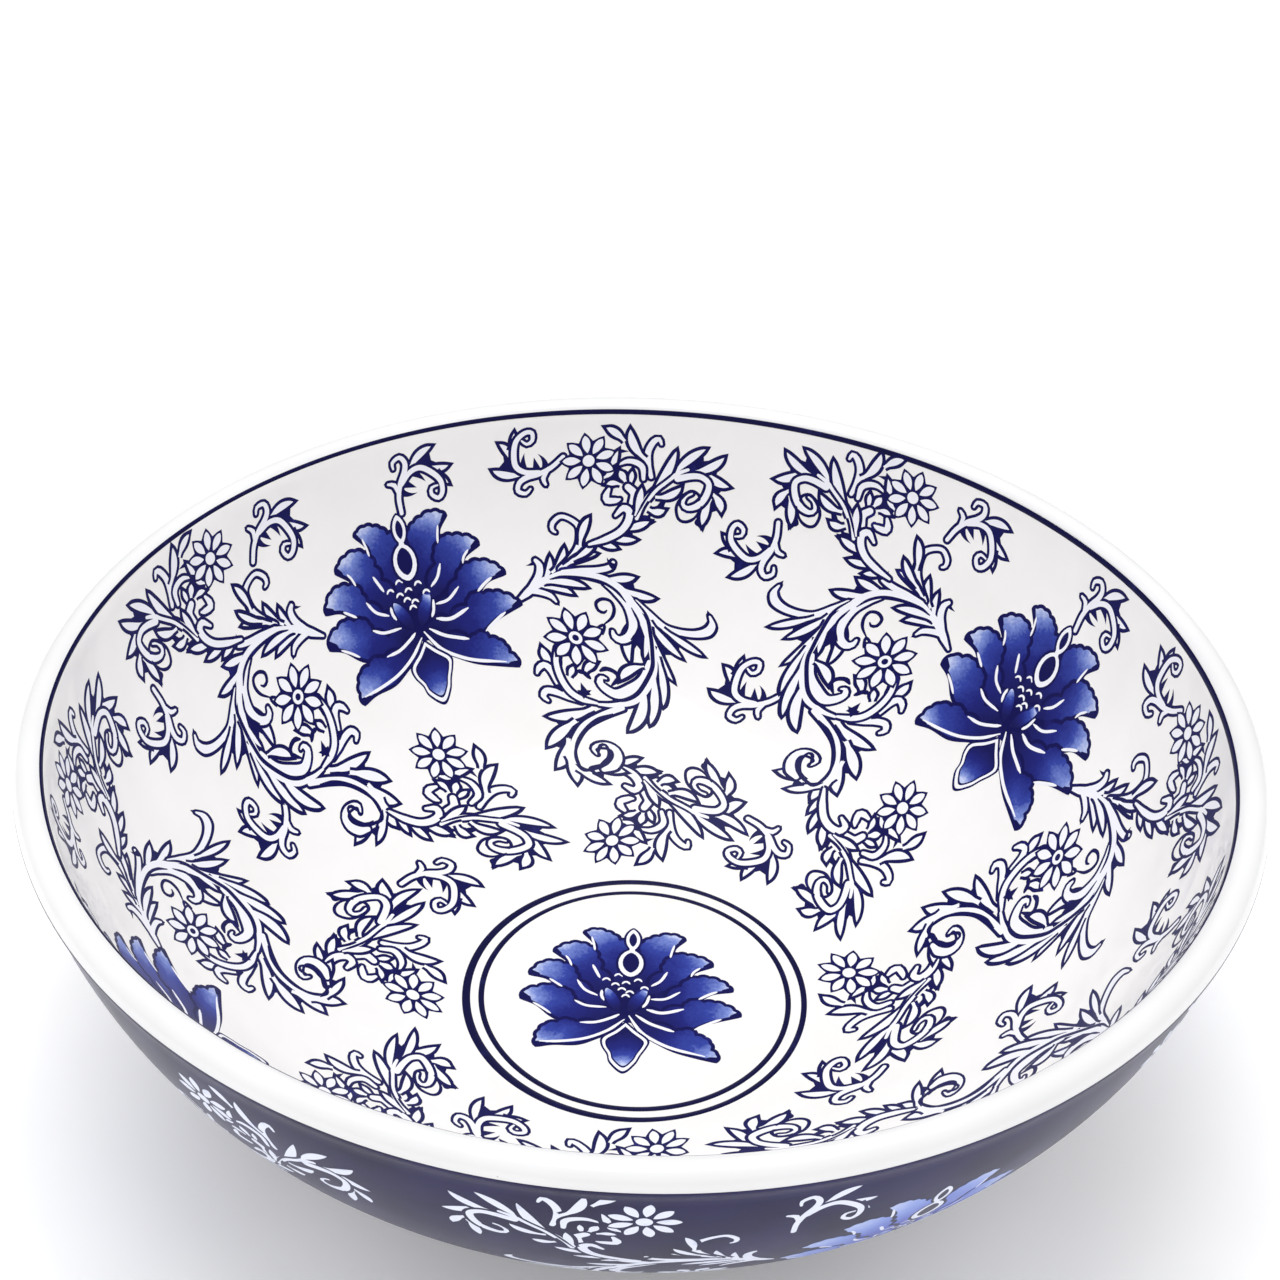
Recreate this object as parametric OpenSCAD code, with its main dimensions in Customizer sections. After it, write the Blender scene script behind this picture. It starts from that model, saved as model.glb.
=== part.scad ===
// Deep round porcelain serving bowl on a foot ring, white inside and cobalt outside.
// Frame: origin on the standing plane under the middle of the bowl, +Z up along its axis.
// Inside and outside are two arcs about one centre, so the wall keeps one thickness.

/* [Overall] */
// Diameter across the outside of the rolled rim
bowl_d = 406; // [340:1:500]
// Height from the standing plane to the top of the rim
bowl_h = 150; // [120:1:190]

/* [Wall and rim] */
// Thickness of the porcelain wall and floor, without its glazes
wall_t = 9; // [6:0.5:12]
// Radius of the flat middle of the inside floor
floor_flat_r = 40; // [20:1:60]
// Height of the inside floor over the standing plane
floor_z = 19.5; // [17:0.5:30]
// Diameter of the rolled rim's round section
rim_bead_d = 11; // [10:0.5:16]
// Height of the plain neck under the rolled rim, where it grows out of the wall
rim_neck_h = 0.5; // [0.3:0.1:4]

/* [Foot] */
// Outside diameter of the foot ring
foot_d = 176; // [120:1:230]
// Width of the foot ring
foot_w = 9; // [7:0.5:16]
// Radius on the two edges that the foot stands on
foot_edge_r = 2; // [0.5:0.5:3]

/* [Glazes] */
// Thickness of the white glaze inside the bowl
liner_t = 0.5; // [0.3:0.1:1]
// Thickness of the cobalt ground outside, and of the white glaze in the foot's recess
ground_t = 0.5; // [0.3:0.1:1]
// Height of the bare edge that the cobalt ground leaves at the bottom of the foot
ground_stop_h = 3; // [2.5:0.5:6]

/* [Painted lines] */
// Width of a painted line, measured along the ware
line_w = 1.6; // [1:0.1:3]
// Angle of the rim line, up round the rim's section from its innermost point
rim_line_angle = 36; // [10:1:60]
// Radius of the larger medallion ring, to the middle of its line
medallion_outer_r = 60.5; // [50:0.5:70]
// Radius of the smaller medallion ring, to the middle of its line
medallion_inner_r = 55; // [44:0.5:66]

/* [Transfers] */
// Thickness of a fired transfer or painted line
print_t = 0.3; // [0.2:0.05:0.5]
// Number of times that the pattern repeats around the bowl
repeat_count = 4; // [2:1:4]
// Turn of the inside pattern, from +X to its first lotus
pattern_turn = 32; // [0:1:90]
// Turn of the outside pattern, from +X to its first lotus
outer_turn = 28; // [0:1:90]
// Width of a lotus transfer, from petal tip to petal tip
lotus_d = 76; // [50:1:92]
// Length of wall from the rim down to a lotus's middle
lotus_drop = 65; // [58:1:72]
// Diameter of the round curl of a scroll transfer
curl_d = 50; // [30:1:60]
// Length of wall from the rim down to the middle of a left curl
left_curl_drop = 80; // [75:1:85]
// Length of wall from the rim down to the middle of a right curl
right_curl_drop = 90; // [85:1:92]
// Diameter of the small volute under a scroll's curl
volute_d = 22; // [12:1:26]
// Length of a spray transfer
spray_l = 60; // [40:1:72]
// Width of a spray transfer
spray_w = 34; // [20:1:38]
// Length of wall from the rim down to the middle of a rim spray
rim_spray_drop = 22; // [20:1:24]
// Length of wall from the rim down to the middle of a floor spray
floor_spray_drop = 150; // [148:1:152]
// Diameter of a loose sprig
sprig_d = 20; // [12:1:24]

/* [Hidden] */
$fn = 96;
rim_r = bowl_d / 2 - rim_bead_d / 2;
rim_z = bowl_h - rim_bead_d / 2;
rim_root_z = rim_z - rim_bead_d / 2 - rim_neck_h;
// The inside arc starts level at the edge of the flat floor and ends at the rim's innermost point.
arc_run = rim_r - rim_bead_d / 2 - floor_flat_r;
arc_rise = rim_z - floor_z;
inside_r = (arc_run * arc_run + arc_rise * arc_rise) / (2 * arc_rise);
arc_z = floor_z + inside_r;
body_in_r = inside_r + liner_t;
body_out_r = body_in_r + wall_t;
outside_r = body_out_r + ground_t;
foot_out_r = foot_d / 2;
foot_in_r = foot_out_r - foot_w;
reach = bowl_d;
petal_count = 12;
petal_d = lotus_d * 0.24;
petal_ring_r = (lotus_d - petal_d) / 2;
lotus_heart_d = lotus_d - 1.4 * petal_d;
// Turns from a lotus to the prints beside it, as shares of one repeat of the pattern.
repeat_turn = 360 / repeat_count;
curl_turn = 0.3 * repeat_turn;
rim_spray_turn = 0.366 * repeat_turn;
half_turn = 0.5 * repeat_turn;
// Loose sprigs: turn from the lotus, and length of wall down from the rim.
sprig_places = [
    [-0.19 * repeat_turn, 16],
    [0.19 * repeat_turn, 16],
    [half_turn, 50],
    [half_turn, 104]
];
// Slope of the wall's radius where the inside arc meets the rim.
rim_dip = asin((arc_z - rim_z) / inside_r);

// Everything inside the dish whose arc has the radius r, in the section plane.
module dish(r) {
    intersection() {
        union() {
            translate([floor_flat_r, arc_z])
                circle(r);
            translate([0, arc_z - r])
                square([floor_flat_r, r + reach]);
        }
        square([2 * reach, 2 * reach]);
    }
}

// The section of a skin between two dish arcs.
module skin(r_in, r_out) {
    difference() {
        dish(r_out);
        dish(r_in);
    }
}

// What is left of a section between two heights.
module between_heights(z_low, z_high) {
    intersection() {
        children();
        translate([0, z_low])
            square([reach, z_high - z_low]);
    }
}

// What is left of a section between two radii.
module between_radii(r_low, r_high) {
    intersection() {
        children();
        translate([r_low, 0])
            square([r_high - r_low, reach]);
    }
}

// Thin layer of colour over the inside of the bowl.
module inside_print() {
    rotate_extrude()
        between_heights(0, rim_z)
            skin(inside_r - print_t, inside_r);
}

// Thin layer of colour over the outside of the bowl, clear of the foot.
module outside_print() {
    rotate_extrude()
        between_radii(foot_out_r + ground_t, reach)
            between_heights(0, rim_root_z)
                skin(outside_r, outside_r + print_t);
}

// Carries an outline square through the wall, at a turn and at a length of wall below the rim.
module through_wall(turn, drop) {
    rotate([0, 0, turn])
        translate([floor_flat_r, 0, arc_z])
            rotate([0, rim_dip + angle_of(drop, inside_r), 0])
                rotate([90, 0, 90])
                    linear_extrude(reach)
                        children();
}

// Outline of a lotus: a heart with a ring of separate petal tips.
module lotus_outline() {
    circle(d = lotus_heart_d);
    for (i = [0 : petal_count - 1])
        rotate((i + 0.5) * 360 / petal_count)
            translate([petal_ring_r, 0])
                circle(d = petal_d);
}

// Outline of a scroll: a round curl with a small volute that hangs under it.
module scroll_outline() {
    volute_drop = (curl_d + volute_d) / 2;
    circle(d = curl_d);
    translate([0, -volute_drop])
        circle(d = volute_d);
    translate([-volute_d / 4, -volute_drop])
        square([volute_d / 2, volute_drop]);
}

// Outline of a spray: a strip with round ends.
module spray_outline() {
    end_shift = (spray_l - spray_w) / 2;
    translate([-end_shift, 0])
        circle(d = spray_w);
    translate([end_shift, 0])
        circle(d = spray_w);
    translate([-end_shift, -spray_w / 2])
        square([2 * end_shift, spray_w]);
}

// Prints its outline on the inside, once in each repeat of the pattern.
module inside_repeat(turn, drop) {
    for (i = [0 : repeat_count - 1])
        intersection() {
            inside_print();
            through_wall(pattern_turn + turn + i * repeat_turn, drop)
                children();
        }
}

// Prints its outline on the outside, once in each repeat of the pattern.
module outside_repeat(turn, drop) {
    for (i = [0 : repeat_count - 1])
        intersection() {
            outside_print();
            through_wall(outer_turn + turn + i * repeat_turn, drop)
                children();
        }
}

// Angle that a length of arc covers at a radius.
function angle_of(length, radius) = length / radius * 180 / PI;

module porcelain_body() {
    color("#F3F0EA")
        rotate_extrude()
            between_heights(0, rim_root_z)
                skin(body_in_r, body_out_r);
}

module rolled_rim() {
    color("#FBFBFA")
        rotate_extrude()
            union() {
                translate([rim_r, rim_z])
                    circle(d = rim_bead_d);
                between_heights(rim_root_z, rim_z)
                    skin(inside_r, outside_r);
            }
}

// The foot's block and the ground on its side run up into the dish, which cuts them off.
module foot_ring() {
    edge_d = 2 * foot_edge_r;
    color("#E9E2D6")
        rotate_extrude()
            difference() {
                union() {
                    translate([foot_in_r, foot_edge_r])
                        square([foot_w, arc_z]);
                    translate([foot_in_r + foot_edge_r, 0])
                        square([foot_w - edge_d, edge_d]);
                    translate([foot_in_r + foot_edge_r, foot_edge_r])
                        circle(d = edge_d);
                    translate([foot_out_r - foot_edge_r, foot_edge_r])
                        circle(d = edge_d);
                }
                dish(body_out_r);
            }
}

module liner_glaze() {
    color("#F2EEEB")
        rotate_extrude()
            between_heights(0, rim_root_z)
                skin(inside_r, body_in_r);
}

module cobalt_ground() {
    color("#1D1B4E")
        rotate_extrude()
            union() {
                between_radii(foot_out_r, reach)
                    between_heights(0, rim_root_z)
                        skin(body_out_r, outside_r);
                difference() {
                    translate([foot_out_r, ground_stop_h])
                        square([ground_t, arc_z]);
                    dish(body_out_r);
                }
            }
}

module base_glaze() {
    color("#F2EEEB")
        rotate_extrude()
            between_radii(0, foot_in_r)
                between_heights(0, arc_z)
                    skin(body_out_r, outside_r);
}

module rim_line() {
    half_span = angle_of(line_w, rim_bead_d);
    low = rim_line_angle - half_span;
    high = rim_line_angle + half_span;
    color("#23215E")
        rotate_extrude()
            translate([rim_r, rim_z])
                intersection() {
                    difference() {
                        circle(d = rim_bead_d + 2 * print_t);
                        circle(d = rim_bead_d);
                    }
                    polygon([
                        [0, 0],
                        rim_bead_d * [-cos(low), sin(low)],
                        rim_bead_d * [-cos(high), sin(high)]
                    ]);
                }
}

// A painted ring round the medallion on the inside floor.
module floor_ring(r) {
    color("#23215E")
        rotate_extrude()
            between_radii(r - line_w / 2, r + line_w / 2)
                between_heights(0, rim_root_z)
                    skin(inside_r - print_t, inside_r);
}

module medallion_outer_ring() {
    floor_ring(medallion_outer_r);
}

module medallion_inner_ring() {
    floor_ring(medallion_inner_r);
}

module medallion_lotus() {
    color("#3D57B5")
        intersection() {
            inside_print();
            linear_extrude(arc_z)
                lotus_outline();
        }
}

module wall_lotuses() {
    color("#3D57B5")
        inside_repeat(0, lotus_drop)
            lotus_outline();
}

module left_scrolls() {
    color("#8C92C4")
        inside_repeat(curl_turn, left_curl_drop)
            scroll_outline();
}

module right_scrolls() {
    color("#8C92C4")
        inside_repeat(-curl_turn, right_curl_drop)
            scroll_outline();
}

module rim_sprays() {
    color("#8C92C4")
        for (turn = [-rim_spray_turn, rim_spray_turn])
            inside_repeat(turn, rim_spray_drop)
                spray_outline();
}

module floor_sprays() {
    color("#8C92C4")
        for (turn = [0, half_turn])
            inside_repeat(turn, floor_spray_drop)
                spray_outline();
}

module sprigs() {
    color("#8C92C4")
        for (place = sprig_places)
            inside_repeat(place[0], place[1])
                circle(d = sprig_d);
}

module outer_lotuses() {
    color("#7F90D6")
        outside_repeat(0, lotus_drop)
            lotus_outline();
}

module outer_scrolls() {
    color("#E8E9F3")
        for (turn = [-curl_turn, curl_turn])
            outside_repeat(turn, left_curl_drop)
                scroll_outline();
}

porcelain_body();
rolled_rim();
foot_ring();
liner_glaze();
cobalt_ground();
base_glaze();
rim_line();
medallion_outer_ring();
medallion_inner_ring();
medallion_lotus();
wall_lotuses();
left_scrolls();
right_scrolls();
rim_sprays();
floor_sprays();
sprigs();
outer_lotuses();
outer_scrolls();
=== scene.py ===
# %% [markdown]
# # A blue and white serving bowl
# The real bowl is one piece of fired porcelain: a deep wall turned on a wheel, a rolled rim, a foot ring,
# a white glaze inside, a cobalt glaze outside, and printed transfers that are laid on by hand in a ring.
# This lesson dresses the plain bowl from the CAD model. Each cell makes one piece or one finish.

# %% Load the bowl
import math

import bmesh
import bpy
import numpy as np
from mathutils import Matrix, Vector
from mathutils.geometry import delaunay_2d_cdt


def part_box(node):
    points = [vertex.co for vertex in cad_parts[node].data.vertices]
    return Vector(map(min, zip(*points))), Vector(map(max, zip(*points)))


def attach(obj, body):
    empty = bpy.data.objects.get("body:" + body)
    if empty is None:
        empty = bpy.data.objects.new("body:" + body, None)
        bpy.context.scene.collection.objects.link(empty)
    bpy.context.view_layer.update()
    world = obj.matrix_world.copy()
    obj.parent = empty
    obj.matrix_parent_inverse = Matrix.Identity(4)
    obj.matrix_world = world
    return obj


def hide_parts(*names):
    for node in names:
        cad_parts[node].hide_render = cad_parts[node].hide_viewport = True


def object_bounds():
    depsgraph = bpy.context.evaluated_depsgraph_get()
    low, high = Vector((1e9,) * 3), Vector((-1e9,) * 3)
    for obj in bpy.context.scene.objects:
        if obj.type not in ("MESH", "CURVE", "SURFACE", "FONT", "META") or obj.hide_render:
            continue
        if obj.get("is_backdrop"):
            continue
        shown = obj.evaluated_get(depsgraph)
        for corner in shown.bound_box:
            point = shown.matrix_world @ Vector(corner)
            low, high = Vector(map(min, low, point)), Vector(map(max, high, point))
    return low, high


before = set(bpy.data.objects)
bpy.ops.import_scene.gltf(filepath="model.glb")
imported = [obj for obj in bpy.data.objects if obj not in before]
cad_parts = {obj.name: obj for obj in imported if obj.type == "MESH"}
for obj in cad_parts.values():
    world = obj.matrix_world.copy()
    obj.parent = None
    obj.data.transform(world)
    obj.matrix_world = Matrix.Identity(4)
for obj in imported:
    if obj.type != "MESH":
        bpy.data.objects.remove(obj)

MM = 0.001
cad_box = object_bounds()
print("bowl", [round(v / MM, 1) for v in cad_box[1] - cad_box[0]], "mm, nodes", len(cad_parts))

# %% [markdown]
# The bowl stands on the floor with its axis upright. Its sizes come from the CAD boxes: the rim gives
# the width and height, the foot gives the ring that it stands on. The inside wall is one arc, which
# leaves the flat floor level and meets the rolled rim at the middle of the roll. Its reach and rise are
# rounded, because the flat facets of the CAD mesh fall a hair inside the true circle.

# %% Sizes of the bowl, in millimetres
SKIN, WALL = 0.5, 10.0
BEAD_R, FLAT_R = 5.5, 40.0
FOOT_WIDE, FOOT_EDGE = 9.0, 2.0
LINE_ANGLE = 31
BOWL_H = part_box("rolled_rim")[1].z / MM
BOWL_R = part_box("rolled_rim")[1].x / MM
FOOT_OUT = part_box("foot_ring")[1].x / MM
FLOOR_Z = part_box("liner_glaze")[0].z / MM + SKIN
BEAD_X, BEAD_Z = BOWL_R - BEAD_R, BOWL_H - BEAD_R
WALL_REACH, WALL_RISE = round(BEAD_X - BEAD_R - FLAT_R, 1), round(BEAD_Z - FLOOR_Z, 1)
INSIDE_R = (WALL_REACH ** 2 + WALL_RISE ** 2) / (2 * WALL_RISE)
OUTSIDE_R = INSIDE_R + WALL
ARC_Z = FLOOR_Z + INSIDE_R
BEAD_START = math.acos((ARC_Z - BEAD_Z) / INSIDE_R)
BEAD_S = FLAT_R + INSIDE_R * BEAD_START
LINE_S = BEAD_S + BEAD_R * math.radians(LINE_ANGLE)
GROUND_TOP = round(BEAD_Z - BEAD_R, 1)
print("height", round(BOWL_H, 1), "radius", round(BOWL_R, 1), "foot", round(FOOT_OUT, 1),
      "wall arc", round(INSIDE_R, 3), "about", round(ARC_Z, 2))

# %% [markdown]
# Everything on the bowl is placed by its distance along the wall, as a decorator measures it with a tape.
# inside() starts at the middle of the floor and runs up the wall and over the rim. outside() starts under
# the rim and runs down to the foot. Both give the radius, the height and the way the surface faces.

# %% Distance along the wall
def inside(s):
    s = np.asarray(s, float)
    t = np.clip((s - FLAT_R) / INSIDE_R, 0, BEAD_START)
    a = math.pi - np.maximum(s - BEAD_S, 0) / BEAD_R
    flat, bead = s < FLAT_R, s > BEAD_S
    wall_r, wall_z = FLAT_R + INSIDE_R * np.sin(t), ARC_Z - INSIDE_R * np.cos(t)
    r = np.where(flat, s, np.where(bead, BEAD_X + BEAD_R * np.cos(a), wall_r))
    z = np.where(flat, FLOOR_Z, np.where(bead, BEAD_Z + BEAD_R * np.sin(a), wall_z))
    return r, z, np.where(bead, np.cos(a), -np.sin(t)), np.where(bead, np.sin(a), np.cos(t))


def outside(s):
    t = math.asin((GROUND_TOP - ARC_Z) / OUTSIDE_R) - np.asarray(s, float) / OUTSIDE_R
    return FLAT_R + OUTSIDE_R * np.cos(t), ARC_Z + OUTSIDE_R * np.sin(t), np.cos(t), np.sin(t)


print("wall from floor to rim", round(BEAD_S, 1), "mm, rim line at", round(LINE_S, 1), "mm")

# %% [markdown]
# The camera looks down into the bowl from the front, a little rolled. It stands AWAY rim radii from the
# middle of the rim, RISE radians up.

# %% Camera
def put(name, data):
    """A new object in the scene that shows this data."""
    thing = bpy.data.objects.new(name, data)
    bpy.context.scene.collection.objects.link(thing)
    return thing


LENS, SENSOR = 69.24, 36.0
AIM_R, AIM_Z = 192.3, 148.0
RISE, TILT, PAN, ROLL, AWAY = 0.6563, -0.0284, -0.0035, 0.0389, 4.2055
camera = put("camera", bpy.data.cameras.new("camera"))
camera.data.lens = LENS
camera.data.sensor_width = SENSOR
look = RISE + TILT
ahead = Vector((math.sin(PAN) * math.cos(look), math.cos(PAN) * math.cos(look), -math.sin(look)))
right = ahead.cross(Vector((0, 0, 1))).normalized()
up = right.cross(ahead)
across = math.cos(ROLL) * right + math.sin(ROLL) * up
over = -math.sin(ROLL) * right + math.cos(ROLL) * up
place = Matrix((across, over, -ahead)).transposed().to_4x4()
place.translation = Vector((0, -AWAY * math.cos(RISE) * AIM_R, AIM_Z + AWAY * math.sin(RISE) * AIM_R)) * MM
camera.matrix_world = place
bpy.context.scene.camera = camera
print("camera at", [round(v, 3) for v in place.translation])

# %% [markdown]
# The floor is a big pale sheet. The light is a large soft box overhead in a pale room. Shiny surfaces
# see a dimmer room, so the glaze keeps its colour and shows no hard sparkle.

# %% Floor and light
BOX_PLACE, BOX_AIM = (-0.15, 0.15, 2.3), (0, 0, 0.05)
BOX_SIZE, BOX_WATTS = 1.5, 22
ROOM_LIGHT, ROOM_SEEN_IN_GLAZE = 1.0, 0.12
FLOOR_HALF = 8
light = bpy.data.lights.new("top_box", "AREA")
light.shape, light.size, light.energy = "SQUARE", BOX_SIZE, BOX_WATTS
top_box = put("top_box", light)
top_box.location = BOX_PLACE
top_box.rotation_euler = (Vector(BOX_AIM) - Vector(BOX_PLACE)).to_track_quat("-Z", "Y").to_euler()

world = bpy.data.worlds.new("pale_room")
bpy.context.scene.world = world
world.use_nodes = True
world_nodes, world_links = world.node_tree.nodes, world.node_tree.links
room = world_nodes["Background"]
room.inputs["Color"].default_value = (1, 1, 1, 1)
path = world_nodes.new("ShaderNodeLightPath")
dim = world_nodes.new("ShaderNodeMapRange")
dim.inputs["To Min"].default_value = ROOM_LIGHT
dim.inputs["To Max"].default_value = ROOM_SEEN_IN_GLAZE
world_links.new(path.outputs["Is Glossy Ray"], dim.inputs["Value"])
world_links.new(dim.outputs["Result"], room.inputs["Strength"])
bpy.context.scene.view_settings.view_transform = "Standard"

floor_mesh = bpy.data.meshes.new("floor")
corners = [(x * FLOOR_HALF, y * FLOOR_HALF, 0) for x, y in ((-1, -1), (1, -1), (1, 1), (-1, 1))]
floor_mesh.from_pydata(corners, [], [(0, 1, 2, 3)])
floor = put("floor", floor_mesh)
floor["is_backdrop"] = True

# %% [markdown]
# Fired glaze is never one flat colour. It has soft clouds where it ran thicker, a slow ripple that bends
# the reflections, and a few dark kiln specks. One node group makes all three, so every glaze on the bowl
# can share it with its own sizes. A second group gives the grain and flow of printed colour.

# %% Node groups for glaze and print
def new_group(name, ins, outs, family="ShaderNodeTree"):
    """A node group with its named inputs and outputs, and its two end nodes."""
    group = bpy.data.node_groups.new(name, family)
    for label, kind, value in ins:
        socket = group.interface.new_socket(label, in_out="INPUT", socket_type=kind)
        if value is not None:
            socket.default_value = value
    for label, kind in outs:
        group.interface.new_socket(label, in_out="OUTPUT", socket_type=kind)
    return group, group.nodes.new("NodeGroupInput"), group.nodes.new("NodeGroupOutput")


def set_or_link(tree, socket, value):
    if hasattr(value, "is_output"):
        tree.links.new(value, socket)
    else:
        socket.default_value = value


def add(tree, kind, settings=(), **values):
    """A new node. Values go to its inputs by name, or by number as i0, i1 and so on."""
    node = tree.nodes.new(kind)
    for key, value in dict(settings).items():
        setattr(node, key, value)
    for key, value in values.items():
        by_number = key[0] == "i" and key[1:].isdigit()
        set_or_link(tree, node.inputs[int(key[1:]) if by_number else key.replace("_", " ")], value)
    return node


def sums(tree, operation, a, b):
    return add(tree, "ShaderNodeMath", {"operation": operation}, i0=a, i1=b).outputs[0]


def noise(tree, start, scale, detail):
    return add(tree, "ShaderNodeTexNoise", Vector=start.outputs["Vector"], Scale=start.outputs[scale],
               Detail=detail).outputs[0]


glaze_group, gi, go = new_group(
    "fired glaze",
    [("Vector", "NodeSocketVector", None), ("Cloud Scale", "NodeSocketFloat", 18.0),
     ("Ripple Scale", "NodeSocketFloat", 45.0), ("Speck Scale", "NodeSocketFloat", 42.0)],
    [("Cloud", "NodeSocketFloat"), ("Ripple", "NodeSocketFloat"), ("Specks", "NodeSocketFloat")])
cells = add(glaze_group, "ShaderNodeTexVoronoi", Vector=gi.outputs["Vector"], Scale=gi.outputs["Speck Scale"])
lot = add(glaze_group, "ShaderNodeSeparateColor", Color=cells.outputs["Color"]).outputs[0]
chosen = sums(glaze_group, "GREATER_THAN", lot, 0.72)
near = add(glaze_group, "ShaderNodeMapRange", Value=cells.outputs["Distance"], From_Min=0.016, From_Max=0.007)
for label, value in (("Cloud", noise(glaze_group, gi, "Cloud Scale", 3.0)),
                     ("Ripple", noise(glaze_group, gi, "Ripple Scale", 2.0)),
                     ("Specks", sums(glaze_group, "MULTIPLY", near.outputs[0], chosen))):
    glaze_group.links.new(value, go.inputs[label])

ink_group, ii, io = new_group(
    "printed colour",
    [("Vector", "NodeSocketVector", None), ("Grain Scale", "NodeSocketFloat", 900.0),
     ("Flow Scale", "NodeSocketFloat", 130.0)],
    [("Grain", "NodeSocketFloat"), ("Flow", "NodeSocketFloat")])
ink_group.links.new(noise(ink_group, ii, "Grain Scale", 2.0), io.inputs["Grain"])
ink_group.links.new(noise(ink_group, ii, "Flow Scale", 4.0), io.inputs["Flow"])
print("node groups:", glaze_group.name, "and", ink_group.name)

# %% [markdown]
# A glazed surface is a coloured body under clear glass. The Principled shader gives it with a fairly rough
# base and a smooth coat. The clouds shift the colour a little and the ripple bends the coat.

# %% Glazes
def paint(r, g, b):
    """A colour as it is mixed on screen, 0 to 255, turned into the linear light that shaders use."""
    lin = [(v / 255 / 12.92 if v <= 10 else ((v / 255 + 0.055) / 1.055) ** 2.4) for v in (r, g, b)]
    return (*lin, 1.0)


def blank(name):
    material = bpy.data.materials.new(name)
    material.use_nodes = True
    tree = material.node_tree
    spot = tree.nodes.new("ShaderNodeTexCoord").outputs["Object"]
    return material, tree, tree.nodes["Principled BSDF"], spot


def use_group(tree, group, spot, **values):
    node = add(tree, "ShaderNodeGroup", {"node_tree": group}, **values)
    tree.links.new(spot, node.inputs["Vector"])
    return node


def mix(tree, factor, a, b):
    node = add(tree, "ShaderNodeMix", {"data_type": "RGBA"}, i0=factor, i6=a, i7=b)
    return node.outputs[2]


def ramp(tree, value, stops):
    node = add(tree, "ShaderNodeValToRGB", Fac=value)
    while len(node.color_ramp.elements) < len(stops):
        node.color_ramp.elements.new(0.5)
    for element, (at, colour) in zip(node.color_ramp.elements, stops):
        element.position, element.color = at, colour
    return node.outputs["Color"]


def sheen(tree, shader, value, low, high, specular, coat=0.0, coat_rough=0.06):
    """Roughness that follows a value over the surface, with a clear coat over it."""
    spread = add(tree, "ShaderNodeMapRange", Value=value, To_Min=low, To_Max=high)
    tree.links.new(spread.outputs[0], shader.inputs["Roughness"])
    shader.inputs["Specular IOR Level"].default_value = specular
    shader.inputs["Coat Weight"].default_value = coat
    shader.inputs["Coat Roughness"].default_value = coat_rough


def relief(tree, shader, height, strength, deep):
    bump = add(tree, "ShaderNodeBump", Strength=strength, Distance=deep, Height=height)
    tree.links.new(bump.outputs[0], shader.inputs["Normal"])


def glaze(name, thin, thick, speck, rough=0.30, coat=0.6, cloud_scale=18.0, speck_scale=42.0, specular=0.3):
    material, tree, shader, spot = blank(name)
    fired = use_group(tree, glaze_group, spot, Cloud_Scale=cloud_scale, Speck_Scale=speck_scale)
    body = ramp(tree, fired.outputs["Cloud"], [(0.34, thin), (0.66, thick)])
    tree.links.new(mix(tree, fired.outputs["Specks"], body, speck), shader.inputs["Base Color"])
    sheen(tree, shader, fired.outputs["Cloud"], rough, rough + 0.12, specular, coat, 0.05)
    relief(tree, shader, fired.outputs["Ripple"], 0.12, 0.0004)
    return material


inner_glaze = glaze("inner_white_glaze", paint(244, 242, 241), paint(240, 238, 236), paint(150, 134, 120))
# Painted shade: the rim's white is set darker and greyer than the lining's, to hold back the full light that
# falls on the roll.
rim_glaze_with_painted_shade = glaze("rim_white_glaze", paint(229, 229, 230), paint(224, 224, 225), paint(165, 155, 146),
                  speck_scale=34.0)
cobalt_glaze = glaze("outer_cobalt_glaze", paint(25, 20, 74), paint(15, 11, 54), paint(8, 7, 30),
                     rough=0.26, cloud_scale=30.0, coat=0.12, specular=0.10)
base_white = glaze("base_white_glaze", paint(238, 234, 228), paint(228, 222, 213), paint(120, 100, 84),
                   speck_scale=60.0)

# %% [markdown]
# Where glaze is wiped off, the porcelain is left bare: matt, slightly cream and a little sandy. It shows
# on the foot ring that the bowl stands on, and on the body inside the glaze. The floor is a plain matt
# sheet made the same way, nearly pure white and faintly luminous, like a lit studio sweep.

# %% Bare porcelain and the floor
FLOOR_GLOW = 0.09


def bare(name, light, dark, sandy):
    material, tree, shader, spot = blank(name)
    printed = use_group(tree, ink_group, spot, Grain_Scale=sandy, Flow_Scale=35.0)
    body = ramp(tree, printed.outputs["Flow"], [(0.3, light), (0.7, dark)])
    tree.links.new(body, shader.inputs["Base Color"])
    sheen(tree, shader, printed.outputs["Grain"], 0.7, 0.95, 0.3)
    relief(tree, shader, printed.outputs["Grain"], 0.5, 0.0002)
    return material


bare_foot = bare("bare_foot_ring", paint(232, 224, 210), paint(214, 203, 186), 1500.0)
biscuit = bare("biscuit_body", paint(236, 232, 224), paint(226, 220, 210), 1200.0)
floor_finish = bare("pale_floor", paint(252, 252, 252), paint(250, 250, 250), 60.0)
floor_shader = floor_finish.node_tree.nodes["Principled BSDF"]
floor_shader.inputs["Emission Color"].default_value = paint(255, 255, 255)
floor_shader.inputs["Emission Strength"].default_value = FLOOR_GLOW
floor.data.materials.append(floor_finish)

# %% [markdown]
# The prints are cobalt under a clear glaze. The ink is nearly black-blue with paler starved patches, the
# small windows in it are a cool white, and the lotus petals carry a brushed wash that is deep at the heart
# and pale towards the scalloped edge. Each petal stores how far a spot lies along it and how far from its
# middle line, in the attribute named petal, and the wash reads that.

# %% Printed colours
def print_colour(name, pale, deep):
    material, tree, shader, spot = blank(name)
    printed = use_group(tree, ink_group, spot)
    body = ramp(tree, printed.outputs["Flow"], [(0.30, deep), (0.62, deep), (0.80, pale)])
    tree.links.new(body, shader.inputs["Base Color"])
    sheen(tree, shader, printed.outputs["Grain"], 0.3, 0.45, 0.12, 0.06)
    return material


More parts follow.
